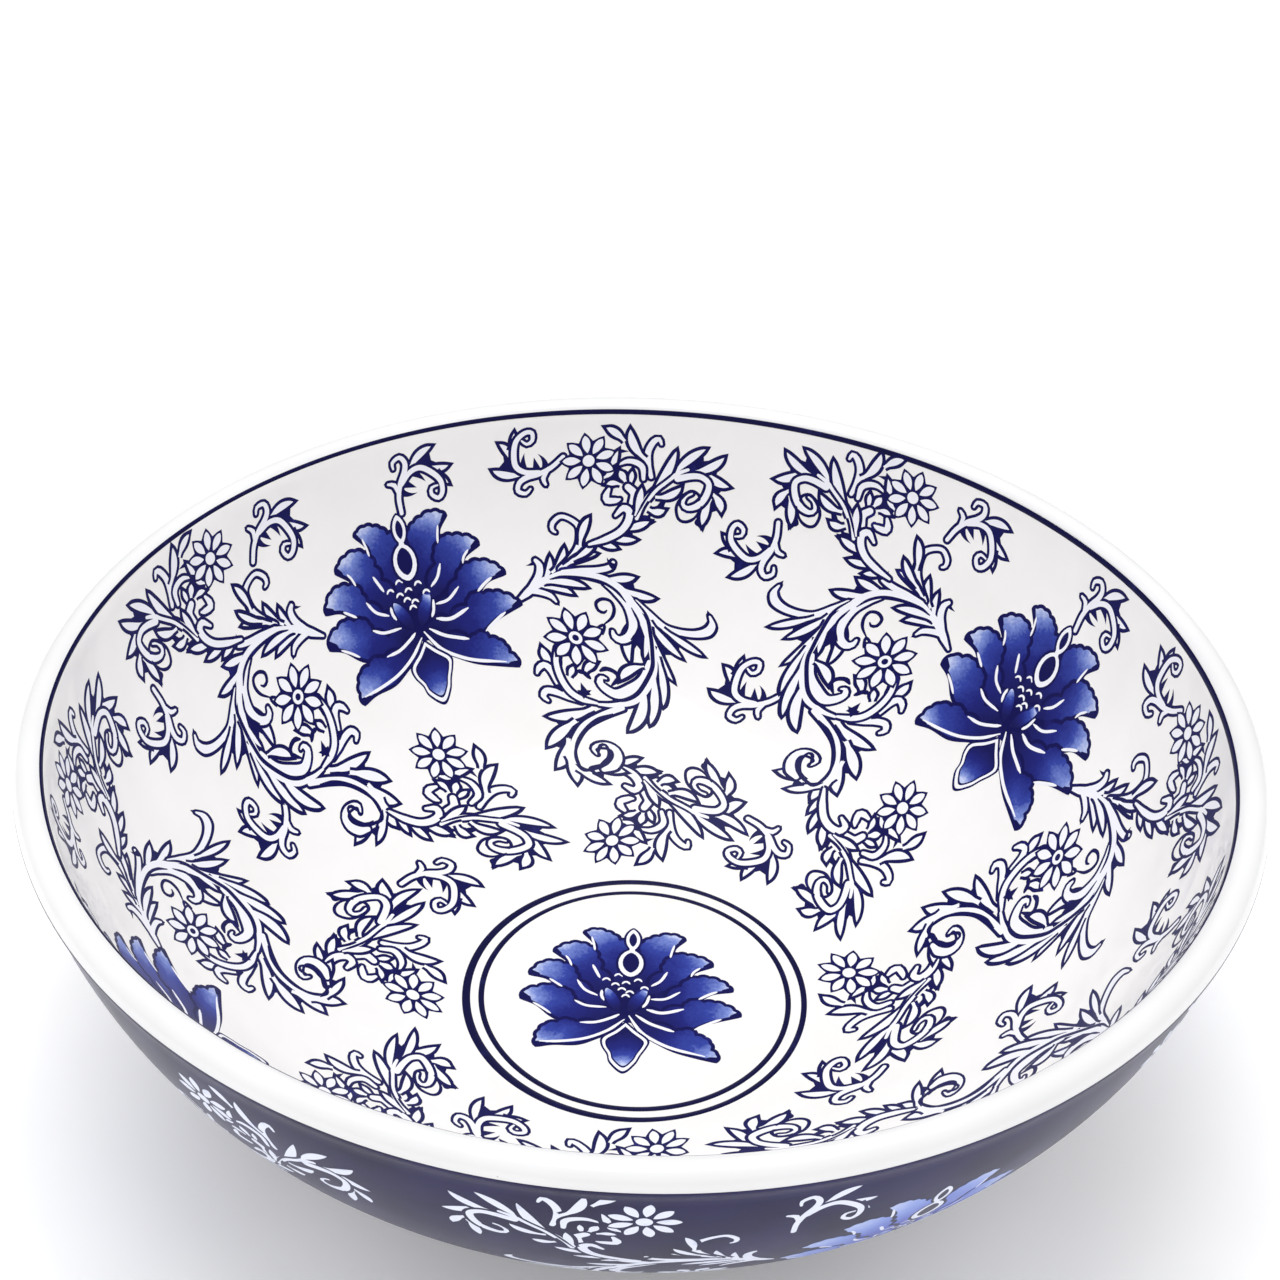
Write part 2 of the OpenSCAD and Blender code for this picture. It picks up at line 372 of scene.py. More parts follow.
def wash_colour(name, stops):
    material, tree, shader, spot = blank(name)
    printed = use_group(tree, ink_group, spot, Flow_Scale=90.0, Grain_Scale=900.0)
    stored = add(tree, "ShaderNodeAttribute", {"attribute_name": "petal"}).outputs["Vector"]
    petal_spot = add(tree, "ShaderNodeSeparateXYZ", Vector=stored)
    drift = sums(tree, "MULTIPLY", sums(tree, "SUBTRACT", printed.outputs["Flow"], 0.5), 0.34)
    fine = sums(tree, "MULTIPLY", sums(tree, "SUBTRACT", printed.outputs["Grain"], 0.5), 0.16)
    edge = sums(tree, "MULTIPLY", petal_spot.outputs["Y"], -0.12)
    along = sums(tree, "ADD", petal_spot.outputs["X"], drift)
    depth = sums(tree, "ADD", along, sums(tree, "ADD", fine, edge))
    tree.links.new(ramp(tree, depth, stops), shader.inputs["Base Color"])
    sheen(tree, shader, printed.outputs["Grain"], 0.28, 0.42, 0.15, 0.08)
    return material


ink = print_colour("cobalt_ink", paint(34, 34, 116), paint(16, 15, 80))
line_ink = print_colour("banded_cobalt", paint(36, 38, 98), paint(15, 14, 62))
window = print_colour("print_white", paint(241, 241, 246), paint(236, 236, 243))
outer_white = print_colour("outer_print_white", paint(190, 196, 226), paint(226, 230, 246))
lotus_wash = wash_colour("brushed_lotus_wash", [
    (0.12, paint(20, 20, 84)), (0.46, paint(28, 34, 118)), (0.68, paint(48, 64, 154)),
    (0.84, paint(114, 132, 200)), (0.97, paint(190, 200, 232))])
pale_wash = wash_colour("brushed_pale_wash", [
    (0.0, paint(64, 72, 160)), (0.40, paint(92, 110, 200)), (0.75, paint(138, 158, 224)),
    (1.0, paint(186, 198, 238))])
print("materials", len(bpy.data.materials))

# %% [markdown]
# A potter's wheel is a rule: one profile, turned round one axis. The Geometry Nodes tree below does the
# same. It takes the profile as a row of points, makes a grid with one column for each step of the turn,
# and swings every column to its angle. The seam and the points on the axis are merged at the end.

# %% The wheel
def build_wheel():
    tree, start, end = new_group(
        "wheel",
        [("Profile", "NodeSocketGeometry", None), ("Steps", "NodeSocketInt", 384),
         ("Glaze", "NodeSocketMaterial", None)],
        [("Turned", "NodeSocketGeometry")], "GeometryNodeTree")
    size = add(tree, "GeometryNodeAttributeDomainSize", Geometry=start.outputs["Profile"])
    count = size.outputs["Point Count"]
    columns = sums(tree, "ADD", start.outputs["Steps"], 1)
    grid = add(tree, "GeometryNodeMeshGrid", Vertices_X=columns, Vertices_Y=count)
    index = tree.nodes.new("GeometryNodeInputIndex").outputs[0]
    column = sums(tree, "FLOOR", sums(tree, "DIVIDE", sums(tree, "ADD", index, 0.5), count), 0.0)
    row = sums(tree, "SUBTRACT", index, sums(tree, "MULTIPLY", column, count))
    pick = add(tree, "GeometryNodeSampleIndex", {"data_type": "FLOAT_VECTOR"},
               Geometry=start.outputs["Profile"], Index=row,
               Value=tree.nodes.new("GeometryNodeInputPosition").outputs[0])
    spot = add(tree, "ShaderNodeSeparateXYZ", Vector=pick.outputs[0])
    angle = sums(tree, "DIVIDE", sums(tree, "MULTIPLY", column, 2 * math.pi), start.outputs["Steps"])
    x = sums(tree, "MULTIPLY", spot.outputs["X"], sums(tree, "COSINE", angle, 0.0))
    y = sums(tree, "MULTIPLY", spot.outputs["X"], sums(tree, "SINE", angle, 0.0))
    swung = add(tree, "ShaderNodeCombineXYZ", X=x, Y=y, Z=spot.outputs["Z"]).outputs[0]
    shape = add(tree, "GeometryNodeSetPosition", Geometry=grid.outputs["Mesh"], Position=swung)
    shape = add(tree, "GeometryNodeMergeByDistance", Geometry=shape.outputs[0], Distance=1e-6)
    shape = add(tree, "GeometryNodeRealizeInstances", Geometry=shape.outputs[0])
    shape = add(tree, "GeometryNodeSetShadeSmooth", Geometry=shape.outputs[0])
    shape = add(tree, "GeometryNodeSetMaterial", Geometry=shape.outputs[0], Material=start.outputs["Glaze"])
    tree.links.new(shape.outputs[0], end.inputs["Turned"])
    return tree


def run_tree(name, mesh, tree, **inputs):
    """Runs a tree on a mesh and hands back a plain object with the result."""
    source = put(name, mesh)
    modifier = source.modifiers.new("make", "NODES")
    modifier.node_group = tree
    for item in tree.interface.items_tree:
        label = item.name.replace(" ", "_")
        if item.in_out == "INPUT" and label in inputs:
            modifier[item.identifier] = inputs[label]
    bpy.context.view_layer.update()
    result = bpy.data.meshes.new_from_object(source.evaluated_get(bpy.context.evaluated_depsgraph_get()))
    bpy.data.objects.remove(source)
    return put(name, result)


def face_out(piece):
    """Cleans a piece's poles, turns its faces outwards, and counts the edges left open."""
    form = bmesh.new()
    form.from_mesh(piece.data)
    bmesh.ops.dissolve_degenerate(form, dist=1e-7, edges=form.edges[:])
    bmesh.ops.delete(form, geom=[edge for edge in form.edges if edge.is_wire], context="EDGES")
    if form.calc_volume(signed=True) < 0:
        bmesh.ops.reverse_faces(form, faces=form.faces[:])
    loose = sum(1 for edge in form.edges if not edge.is_manifold)
    form.to_mesh(piece.data)
    volume = form.calc_volume(signed=True)
    form.free()
    return loose, volume


wheel = build_wheel()


def turned(name, profile, finish_with):
    """A closed profile of (radius, height) in millimetres, turned on the wheel."""
    points = [(r * MM, 0.0, z * MM) for r, z in profile + profile[:1]]
    mesh = bpy.data.meshes.new(name + "_profile")
    mesh.from_pydata(points, [(i, i + 1) for i in range(len(points) - 1)], [])
    piece = run_tree(name, mesh, wheel, Steps=384, Glaze=finish_with)
    loose, volume = face_out(piece)
    piece.data.set_sharp_from_angle(angle=math.radians(40))
    print(name, len(piece.data.polygons), "faces, open edges", loose, "volume", round(volume * 1e6, 1), "cm3")
    return piece


def finish(piece, node):
    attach(piece, "root")
    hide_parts(node)


def round_part(x, z, radius, angles):
    """Points of a profile on an arc about (x, z)."""
    return [(x + radius * math.cos(a), z + radius * math.sin(a)) for a in angles]


def skin_of(side, s):
    """The face of a glaze along the wall, and its back, which runs the other way."""
    r, z, nr, nz = side(s)
    back = [(max(a - SKIN * c, 0.0), b - SKIN * d) for a, b, c, d in zip(r, z, nr, nz)]
    return list(zip(r, z)), back[::-1]


PROFILE_STEP = 2.6


def steps_between(a, b):
    """Distances along the wall, about PROFILE_STEP apart."""
    return np.linspace(a, b, int(abs(b - a) / PROFILE_STEP) + 1)

# %% [markdown]
# The white glaze lines the inside and runs up into the rim as one smooth skin, half a millimetre thick. It
# ends under the painted rim line, which hides the join with the rim's greyer glaze, whose colour carries
# painted shade.

# %% Inner glaze
face, back = skin_of(inside, steps_between(0.0, LINE_S))
liner = turned("inner_glaze", face + back, inner_glaze)
finish(liner, "liner_glaze")

# %% [markdown]
# The rim is a roll of clay as thick as a pencil. Its glaze is set a darker, greyer white than the lining:
# painted shade, so that the full light on the roll does not wash it out. The roll tucks in under itself to
# meet the wall, and its hidden side lies just behind the lining.

# %% Rolled rim
bead = round_part(BEAD_X, BEAD_Z, BEAD_R, np.radians(np.linspace(144, -38, 44)))
wall_r, wall_z = outside(0.0)[:2]
neck = [(wall_r - 0.25, wall_z + 0.9), (wall_r - 0.1, wall_z - 0.2)]
BEHIND = 0.55
hidden = [(float(inside(s)[0]) + BEHIND, float(inside(s)[1])) for s in (BEAD_S - 6.0, BEAD_S, BEAD_S + 1.8)]
rim = turned("rolled_rim_glazed", bead + neck + hidden, rim_glaze_with_painted_shade)
finish(rim, "rolled_rim")

# %% [markdown]
# The outside is dipped in cobalt from the middle of the roll down to the foot, and the glaze is wiped from
# the last few millimetres of the foot so that it can't stick to the kiln shelf.

# %% Cobalt ground
LAP, LAP_UNDER, WIPED = 0.07, 0.4, 3.0
angles = np.radians(np.linspace(-3, -36, 12))
lap = round_part(BEAD_X, BEAD_Z, BEAD_R + LAP, angles)
inner_lap = round_part(BEAD_X, BEAD_Z, BEAD_R - LAP_UNDER, angles[::-1])
foot_turn = math.acos((FOOT_OUT + SKIN - FLAT_R) / OUTSIDE_R)
foot_s = OUTSIDE_R * (foot_turn + math.asin((GROUND_TOP - ARC_Z) / OUTSIDE_R))
face, back = skin_of(outside, steps_between(0.4, foot_s))
edge_r = FOOT_OUT + SKIN
foot_side = [(edge_r, 3 * WIPED), (edge_r, WIPED + 0.6), (edge_r - 0.15, WIPED + 0.15),
             (FOOT_OUT - 0.05, WIPED), (FOOT_OUT - 0.05, 3 * WIPED)]
ground = turned("cobalt_ground_glaze", lap + face + foot_side + back + inner_lap, cobalt_glaze)
finish(ground, "cobalt_ground")

# %% [markdown]
# The foot ring is trimmed from the thick base once the clay is firm. Its edges are rounded with a sponge,
# and the hollow inside it is glazed white.

# %% Foot ring and base glaze
foot_in = FOOT_OUT - FOOT_WIDE
quarter = [math.radians(a) for a in (0, 22.5, 45, 67.5, 90)]
out_edge = round_part(FOOT_OUT - FOOT_EDGE, FOOT_EDGE, FOOT_EDGE, [-a for a in quarter])
in_edge = round_part(foot_in + FOOT_EDGE, FOOT_EDGE, FOOT_EDGE, [math.pi + a for a in quarter[::-1]])
FOOT_TOP_OUT, FOOT_TOP_IN, FOOT_MIDDLE = 17.5, 15.5, 8.0
foot = turned("bare_foot", [(FOOT_OUT, FOOT_TOP_OUT), (FOOT_OUT, FOOT_MIDDLE)] + out_edge + in_edge
              + [(foot_in, FOOT_MIDDLE), (foot_in, FOOT_TOP_IN)], bare_foot)
finish(foot, "foot_ring")
turns = np.linspace(-math.pi / 2, -math.acos((foot_in - FLAT_R) / OUTSIDE_R), 20)
base_low = ARC_Z - OUTSIDE_R
skin_out = [(0.0, base_low), (FLAT_R / 2, base_low)] + round_part(FLAT_R, ARC_Z, OUTSIDE_R, turns)
skin_in = round_part(FLAT_R, ARC_Z, OUTSIDE_R - SKIN, turns[::-1])
skin_in += [(FLAT_R / 2, base_low + SKIN), (0.0, base_low + SKIN)]
base = turned("base_glaze_skin", skin_out + skin_in, base_white)
finish(base, "base_glaze")
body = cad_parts["porcelain_body"]
body.data.materials.clear()
body.data.materials.append(biscuit)

# %% [markdown]
# The rim line and the two rings round the middle are banded: the bowl turns on a wheel while a loaded
# brush is held still. A real line swells and thins as the brush drags, and it sits a little off centre.
# Each line is a thin closed strip whose width and place vary slowly round the bowl.

# %% Banded lines
LIFT, SINK = 0.06, 0.12


def surface_points(side, angle, s, out):
    """Points in metres on one side of the bowl, at an angle in radians and a distance s along the wall."""
    r, z, nr, nz = side(s)
    radius = r + out * nr
    return np.stack([radius * np.cos(angle), radius * np.sin(angle), z + out * nz], -1) * MM


def waver(angle, seed, parts=7):
    """A slow wobble round the circle, between about -1 and 1."""
    rng = np.random.default_rng(seed)
    size = rng.normal(size=parts) / np.arange(1, parts + 1) ** 0.7
    turn = rng.uniform(0, 2 * math.pi, parts)
    return sum(a * np.sin((k + 1) * angle + b) for k, (a, b) in enumerate(zip(size, turn))) / 2.2


def banded(name, s, width, shift, swell, seed, node, steps=720):
    """A banded line. Swell is how much it thickens, and on which side in degrees."""
    angle = np.arange(steps) * 2 * math.pi / steps
    middle = s + shift[0] * np.cos(angle) + shift[1] * np.sin(angle) + 0.12 * waver(angle, seed)
    thicker = swell[0] * np.cos(angle - math.radians(swell[1])) + 0.10 * waver(angle, seed + 1)
    half = 0.5 * width * (1 + thicker)
    section = [(-1, -SINK), (-0.85, 0.8 * LIFT), (0, LIFT), (0.85, 0.8 * LIFT), (1, -SINK), (0, -1.1 * SINK)]
    rows = [surface_points(inside, angle, middle + half * a, b) for a, b in section]
    n = len(rows)
    verts = np.stack(rows, 1).reshape(-1, 3)
    faces = [(i * n + k, i * n + (k + 1) % n, (i + 1) % steps * n + (k + 1) % n, (i + 1) % steps * n + k)
             for i in range(steps) for k in range(n)]
    mesh = bpy.data.meshes.new(name)
    mesh.from_pydata(verts.tolist(), [], faces)
    mesh.materials.append(line_ink)
    piece = put(name, mesh)
    loose = face_out(piece)[0]
    mesh.shade_smooth()
    finish(piece, node)
    print(name, len(mesh.polygons), "faces, open edges", loose)


banded("rim_line_banded", LINE_S, 2.1, (-1.2, -0.4), (0.22, 0), 3, "rim_line")
banded("outer_ring_banded", 60.5, 2.8, (1.0, -1.8), (0.28, 215), 5, "medallion_outer_ring")
banded("inner_ring_banded", 55.0, 2.3, (1.0, -1.8), (0.12, 250), 8, "medallion_inner_ring")


# %% [markdown]
# The transfers are drawn with a few pens, the way an engraver cuts them: pointed leaves, fans of leaves,
# curling bands, thorns, single lines, daisies and lotus petals. Each pen gives flat outlines in
# millimetres, in painter's order, and says whether they are ink, white or wash.

# %% Pens
INK, WHITE, WASH = 0, 1, 2
OUTLINE = 1.15


def smooth(points, step=0.9):
    """A soft curve through set points, with a point about every step millimetres."""
    p = np.array(points, float)
    q = np.vstack([2 * p[0] - p[1], p, 2 * p[-1] - p[-2]])
    out, at = [], []
    for i in range(len(p) - 1):
        a, b, c, d = q[i:i + 4]
        n = max(2, int(np.linalg.norm(c - b) / step))
        for k in range(n + (i == len(p) - 2)):
            t = k / n
            out.append(0.5 * (2 * b + (c - a) * t + (2 * a - 5 * b + 4 * c - d) * t * t
                              + (3 * b - a - 3 * c + d) * t ** 3))
            at.append((i + t) / (len(p) - 1))
    return np.array(out), np.array(at)


def ribbon(path, half):
    d = np.gradient(path, axis=0)
    d /= np.maximum(np.linalg.norm(d, axis=1), 1e-9)[:, None]
    side = np.stack([-d[:, 1], d[:, 0]], 1) * half[:, None]
    left, right = path + side, path - side
    return [np.array([left[i], right[i], right[i + 1], left[i + 1]]) for i in range(len(path) - 1)]


def disc(centre, r, n=12):
    t = np.arange(n) * 2 * math.pi / n
    return np.stack([centre[0] + r * np.cos(t), centre[1] + r * np.sin(t)], 1)


def oval(centre, wide, high, pinch=1.0, n=20):
    t = np.arange(n) * 2 * math.pi / n
    x = np.sign(np.cos(t)) * np.abs(np.cos(t)) ** pinch
    return np.stack([centre[0] + wide / 2 * x, centre[1] + high / 2 * np.sin(t)], 1)


def spine(base, tip, bend):
    b, t = np.array(base, float), np.array(tip, float)
    along = t - b
    u = np.linspace(0, 1, max(8, int(np.linalg.norm(along) / 0.9)))
    side = np.array([-along[1], along[0]])
    return b + along * u[:, None] + side * (bend * 4 * u * (1 - u))[:, None], u


def taper(at, low, rate):
    return np.minimum(1, low + rate * np.minimum(at, 1 - at))


def leaf(base, tip, width, bend=0.0, point=2.6, root=0.45):
    """A pointed leaf: a white window whose ink outline runs on into a dark point."""
    mid, u = spine(base, tip, bend)
    belly = np.sin(math.pi * u ** 1.25) ** 0.8
    half = 0.5 * width * np.where(u < 0.57, np.maximum(belly, root), belly)
    end = mid[-1] - mid[-2]
    far = np.vstack([mid, mid[-1] + end / np.linalg.norm(end) * point])
    halo = np.append(half + OUTLINE * (1 + 0.35 * u), 0.0)
    return [(INK, ribbon(far, halo)), (WHITE, ribbon(mid, half))]


def fan(leaves):
    """Leaves side by side, with ink in the forks between them."""
    webs = []
    middles = [spine(base, tip, bend)[0] for base, tip, width, bend in leaves]
    for pair in zip(middles, middles[1:]):
        (p3, p7, p9), (q3, q7, q9) = [[m[int(f * (len(m) - 1))] for f in (0.3, 0.72, 0.97)] for m in pair]
        fork = 0.5 * sum(m[int(0.7 * (len(m) - 1))] for m in pair)
        webs += [np.array([p3, p7, p9, fork]), np.array([fork, q9, q7, q3]), np.array([p3, fork, q3])]
    layers = [(INK, webs)]
    for one in leaves:
        layers += leaf(*one)
    return layers


def band(points, widths, point=0.0, parts=(INK, WHITE)):
    """A curling band: white inside an ink line, with a width at each set point."""
    path, at = smooth(points)
    half = 0.5 * np.interp(at, np.linspace(0, 1, len(widths)), widths)
    wide = half + OUTLINE
    dark = ribbon(path, wide) + [disc(path[0], wide[0]), disc(path[-1], wide[-1])]
    if point:
        d = path[-1] - path[-2]
        end = path[-1] + d / np.linalg.norm(d) * point
        dark += ribbon(np.array([path[-1], end]), np.array([wide[-1], 0.0]))
    light = ribbon(path, half) + [disc(path[0], half[0]), disc(path[-1], half[-1])]
    return [(kind, shapes) for kind, shapes in ((INK, dark), (WHITE, light)) if kind in parts]


def thorn(base, tip, width, bend=0.0):
    mid, u = spine(base, tip, bend)
    return [(INK, ribbon(mid, 0.5 * width * (1 - u)))]


def line(points, width=1.2, kind=INK):
    path, at = smooth(points)
    return [(kind, ribbon(path, 0.5 * width * taper(at, 0.35, 4)))]


def daisy(centre, r, petals=9, turn=0.0, dot=True):
    c = np.array(centre, float)
    gap = 2 * math.pi / petals
    star, white = [], []
    for i in range(petals):
        t = math.radians(turn) + i * gap
        d, e, g = [np.array([math.cos(a), math.sin(a)]) for a in (t, t + gap / 2, t - gap / 2)]
        n = np.array([-d[1], d[0]]) * 0.12 * r
        star += [np.array([c, c + g * r * 0.70, c + d * r * 0.86 - n, c + d * r]),
                 np.array([c, c + d * r, c + d * r * 0.86 + n, c + e * r * 0.70])]
        u = np.linspace(0, 1, 12)
        half = 1.25 * r / petals * np.sin(math.pi * u ** 1.15) ** 0.7
        white += ribbon(c + d * (r * (0.27 + 0.61 * u))[:, None], half)
    eye = [(INK, [disc(c, 0.25 * r + 0.3, 20)]), (WHITE, [disc(c, 0.25 * r - 0.6, 20)])]
    return [(INK, star), (WHITE, white)] + eye + ([(INK, [disc(c, 1.3, 14)])] if dot else [])


def petal(edge, cusps, bulge=0.20, rim=0.75):
    """A lotus petal: edge runs from the heart to the tip, and the scalloped cusps run back."""
    low, back = smooth(edge)[0], np.array(cusps, float)
    ring = np.vstack([low, back])
    turn = np.sum(ring[:, 0] * np.roll(ring[:, 1], -1) - ring[:, 1] * np.roll(ring[:, 0], -1))
    lobes = []
    for a, b in zip(back, back[1:]):
        side = np.array([-(b - a)[1], (b - a)[0]]) * (-np.sign(turn))
        lobes += [a + (b - a) * u + side * bulge * 4 * u * (1 - u) for u in np.arange(5) / 5]
    top = np.array(lobes + [back[-1]])
    outline = np.vstack([low, top[1:]])
    closed = np.vstack([outline, outline[:1]])
    inner = 0.5 * (low[int(0.86 * (len(low) - 1))] + top[4])
    tip = np.array([low[-1], low[int(0.90 * (len(low) - 1))], inner, top[3]])
    border = ribbon(closed, np.full(len(closed), rim)) + [disc(p, rim * 0.93, 8) for p in outline[::3]]
    return [(WASH, [outline]), (INK, border + [tip])]


def moved(layers, mirror=False, turn=0.0, to=(0, 0), scale=1.0):
    a = math.radians(turn)
    m = scale * np.array([[math.cos(a), -math.sin(a)], [math.sin(a), math.cos(a)]])
    if mirror:
        m = m @ np.array([[-1, 0], [0, 1]])
    return [(kind, [p @ m.T + np.array(to) for p in shapes]) for kind, shapes in layers]

# %% [markdown]
# Four drawings make the whole pattern, inside and out: a lotus, a long scroll, a short spray and a sprig.
# The same print is used again and again, turned over or swung round. Every entry below is one stroke of
# the drawing, in millimetres from the drawing's own origin. A leaf or thorn has a base, a tip, a width and
# a bend. A band or stem has its points and its widths along them. A line has its points and one width. A
# petal has its long edge, the cusps of its scallops, and the white lines on it.

# %% The lotus
LOTUS = [
    ("heart", (0, 8), 14),
    ("petal", [(-6, 9), (-10.5, 16), (-13.5, 22.5), (-15.5, 30), (-16, 36), (-20.5, 42)], [(-20.5, 42),
     (-19, 43.5), (-15.5, 44.5), (-12, 43.5), (-9, 42), (-6.5, 39), (-4.5, 39), (-3, 30), (-4, 18),
     (-5, 10.5)], [([(-17.5, 40), (-16.5, 36), (-16, 32.5)], .9)]),
    ("petal", [(0, 9), (6, 15), (11.5, 23), (14, 30), (14.5, 35), (18.5, 40)], [(18.5, 40), (16.5, 42),
     (13, 43), (8.5, 42), (5, 40.5), (2.5, 38.5), (1, 33), (0, 22.5), (-1, 10.5)], [([(6, 14), (9.5, 17),
     (12, 22)], 1.15), ([(14.5, 37), (13.5, 33), (13, 30)], .9)]),
    ("petal", [(-7.5, 7.5), (-15.5, 10), (-21, 16), (-24, 22), (-26, 26), (-31.5, 31)], [(-31.5, 31),
     (-29.5, 34), (-26, 36), (-21.5, 36.5), (-18, 35), (-15.5, 32.5), (-14.5, 28.5), (-13, 22.5), (-9, 15),
     (-6, 9)], [([(-22, 16), (-19, 11), (-14, 8)], 1.15), ([(-27, 29), (-25.5, 26.5), (-24.5, 23.5)], .9),
     ([(-16.5, 24.5), (-15, 21), (-13.5, 17.5)], 1.15)]),
    ("petal", [(0, 7.5), (9, 10), (16.5, 15), (20.5, 20), (23, 23), (29, 26)], [(29, 26), (27, 29.5),
     (23.5, 31), (19.5, 32), (16, 32.5), (13, 30.5), (10.5, 27), (10, 22.5), (4.5, 13.5), (-1.5, 9)],
     [([(6, 7), (11.5, 7.5), (17, 11.5)], 1.15), ([(24.5, 25), (22, 22.5), (21, 20)], 1)]),
    ("petal", [(-4, 0), (-14, 1), (-21.5, 5), (-27, 10), (-33, 16), (-40, 18)], [(-40, 18), (-38.5, 22),
     (-35.5, 25), (-31.5, 26), (-27.5, 25), (-24.5, 24), (-22.5, 20), (-21.5, 16), (-16, 10), (-5.5, 3)],
     [([(-22.5, 5), (-18, 2.5), (-10.5, 2)], 1.15), ([(-32.5, 16), (-30, 14), (-27.5, 12)], 1)]),
    ("petal", [(-1.5, 0), (7, 0), (15.5, 1), (22.5, 5.5), (28.5, 11), (36.5, 13)], [(36.5, 13), (35, 16),
     (32, 18.5), (28, 20), (23.5, 20), (19.5, 18.5), (17, 15), (11.5, 9), (4.5, 5), (0, 3)], [([(4.5, 1.5),
     (10.5, 0), (18.5, 2.5)], 1.45), ([(24, 8), (27.5, 10.5), (31, 12.5)], 1.2)]),
    ("petal", [(-3, -1), (-8.5, -4), (-16.5, -6.5), (-28.5, -5), (-36.5, 2), (-42.5, 5)], [(-42.5, 5),
     (-40.5, 10.5), (-37, 11.5), (-33, 13), (-29, 11.5), (-25.5, 11), (-23, 8), (-22.5, 5), (-17, 1),
     (-5.5, 0)], [([(-20, -6.5), (-14, -6), (-8.5, -3.5), (-5.5, -1.5)], 1.25), ([(-38, 3), (-34.5, .5),
     (-31, -2.5)], 1)]),
    ("petal", [(-2, -.5), (3, -4), (11, -8.5), (20, -8.5), (28.5, -4), (39.5, 0)], [(39.5, 0), (37.5, 3),
     (34, 5.5), (30, 7), (26, 7), (22.5, 8), (19.5, 6.5), (18, 4), (10, 1), (0, 1)], [([(.5, -1.5),
     (5.5, -5.5), (11, -8), (15, -9.5)], 1.35), ([(22.5, -8), (28, -4.5), (32.5, -2)], 1.2)]),
    ("petal", [(-3, -2), (-7.5, -10), (-13.5, -14), (-20.5, -17.5), (-29.5, -18), (-35.5, -19.5)],
     [(-35.5, -19.5), (-36, -15), (-35, -11), (-33, -8), (-28.5, -6.5), (-27, -5), (-23.5, -5), (-21.5, -6),
     (-13, -6.5), (-5.5, -2)], [([(-34.5, -17), (-26.5, -16.5), (-17.5, -14.5), (-9.5, -10), (-3.5, -4)],
     1.25)]),
    ("petal", [(-2, -2), (2.5, -10.5), (9.5, -16), (15.5, -19.5), (23, -22), (30.5, -24)], [(30.5, -24),
     (31, -20), (29, -18), (28.5, -14.5), (26.5, -12), (23, -10.5), (22, -8), (18, -8), (15.5, -9),
     (5.5, -5.5), (0, -1.5)], [([(-2, -2), (2.5, -10), (8.5, -15), (15.5, -18.5), (26.5, -21.5)], 1.35)]),
    ("front", [(-3, -6), (-6.5, -10), (-11, -14), (-11, -18), (-9, -22), (-8, -26), (-3.5, -30.5),
     (.5, -26.5), (2.5, -22), (4.5, -18), (5, -14.5), (.5, -10)]),
    ("cup", [(-11.5, 13), (-12, 7), (-9, 1), (-3, -1.5), (3, 1), (5, 7.5), (5, 11), (0, 9.5), (-3, 4),
     (-6, 7.5), (-8.5, 11)], [[(-11, 12), (-11, 7), (-8.5, 2), (-5.5, 0), (-5.5, 5), (-8, 10)], [(4.5, 11),
     (3.5, 6.5), (1, 2), (-2.5, 0), (-2.5, 4.5), (0, 9)]], [[(-12.5, 11), (-12.5, 8), (-11.5, 5.5)],
     [(5.5, 9), (4.5, 5), (3, 2.5)]]),
    ("seeds", [(-11, 17), (-6.5, 19.5), (-2.5, 20.5), (1, 17), (-3.5, 15.5), (-7.5, 14.5), (3.5, 13),
     (-5, 12), (-2, 10.5), (-3.5, 8.5)]),
    ("finial", (-2, 26), (-1.5, 39)),
]

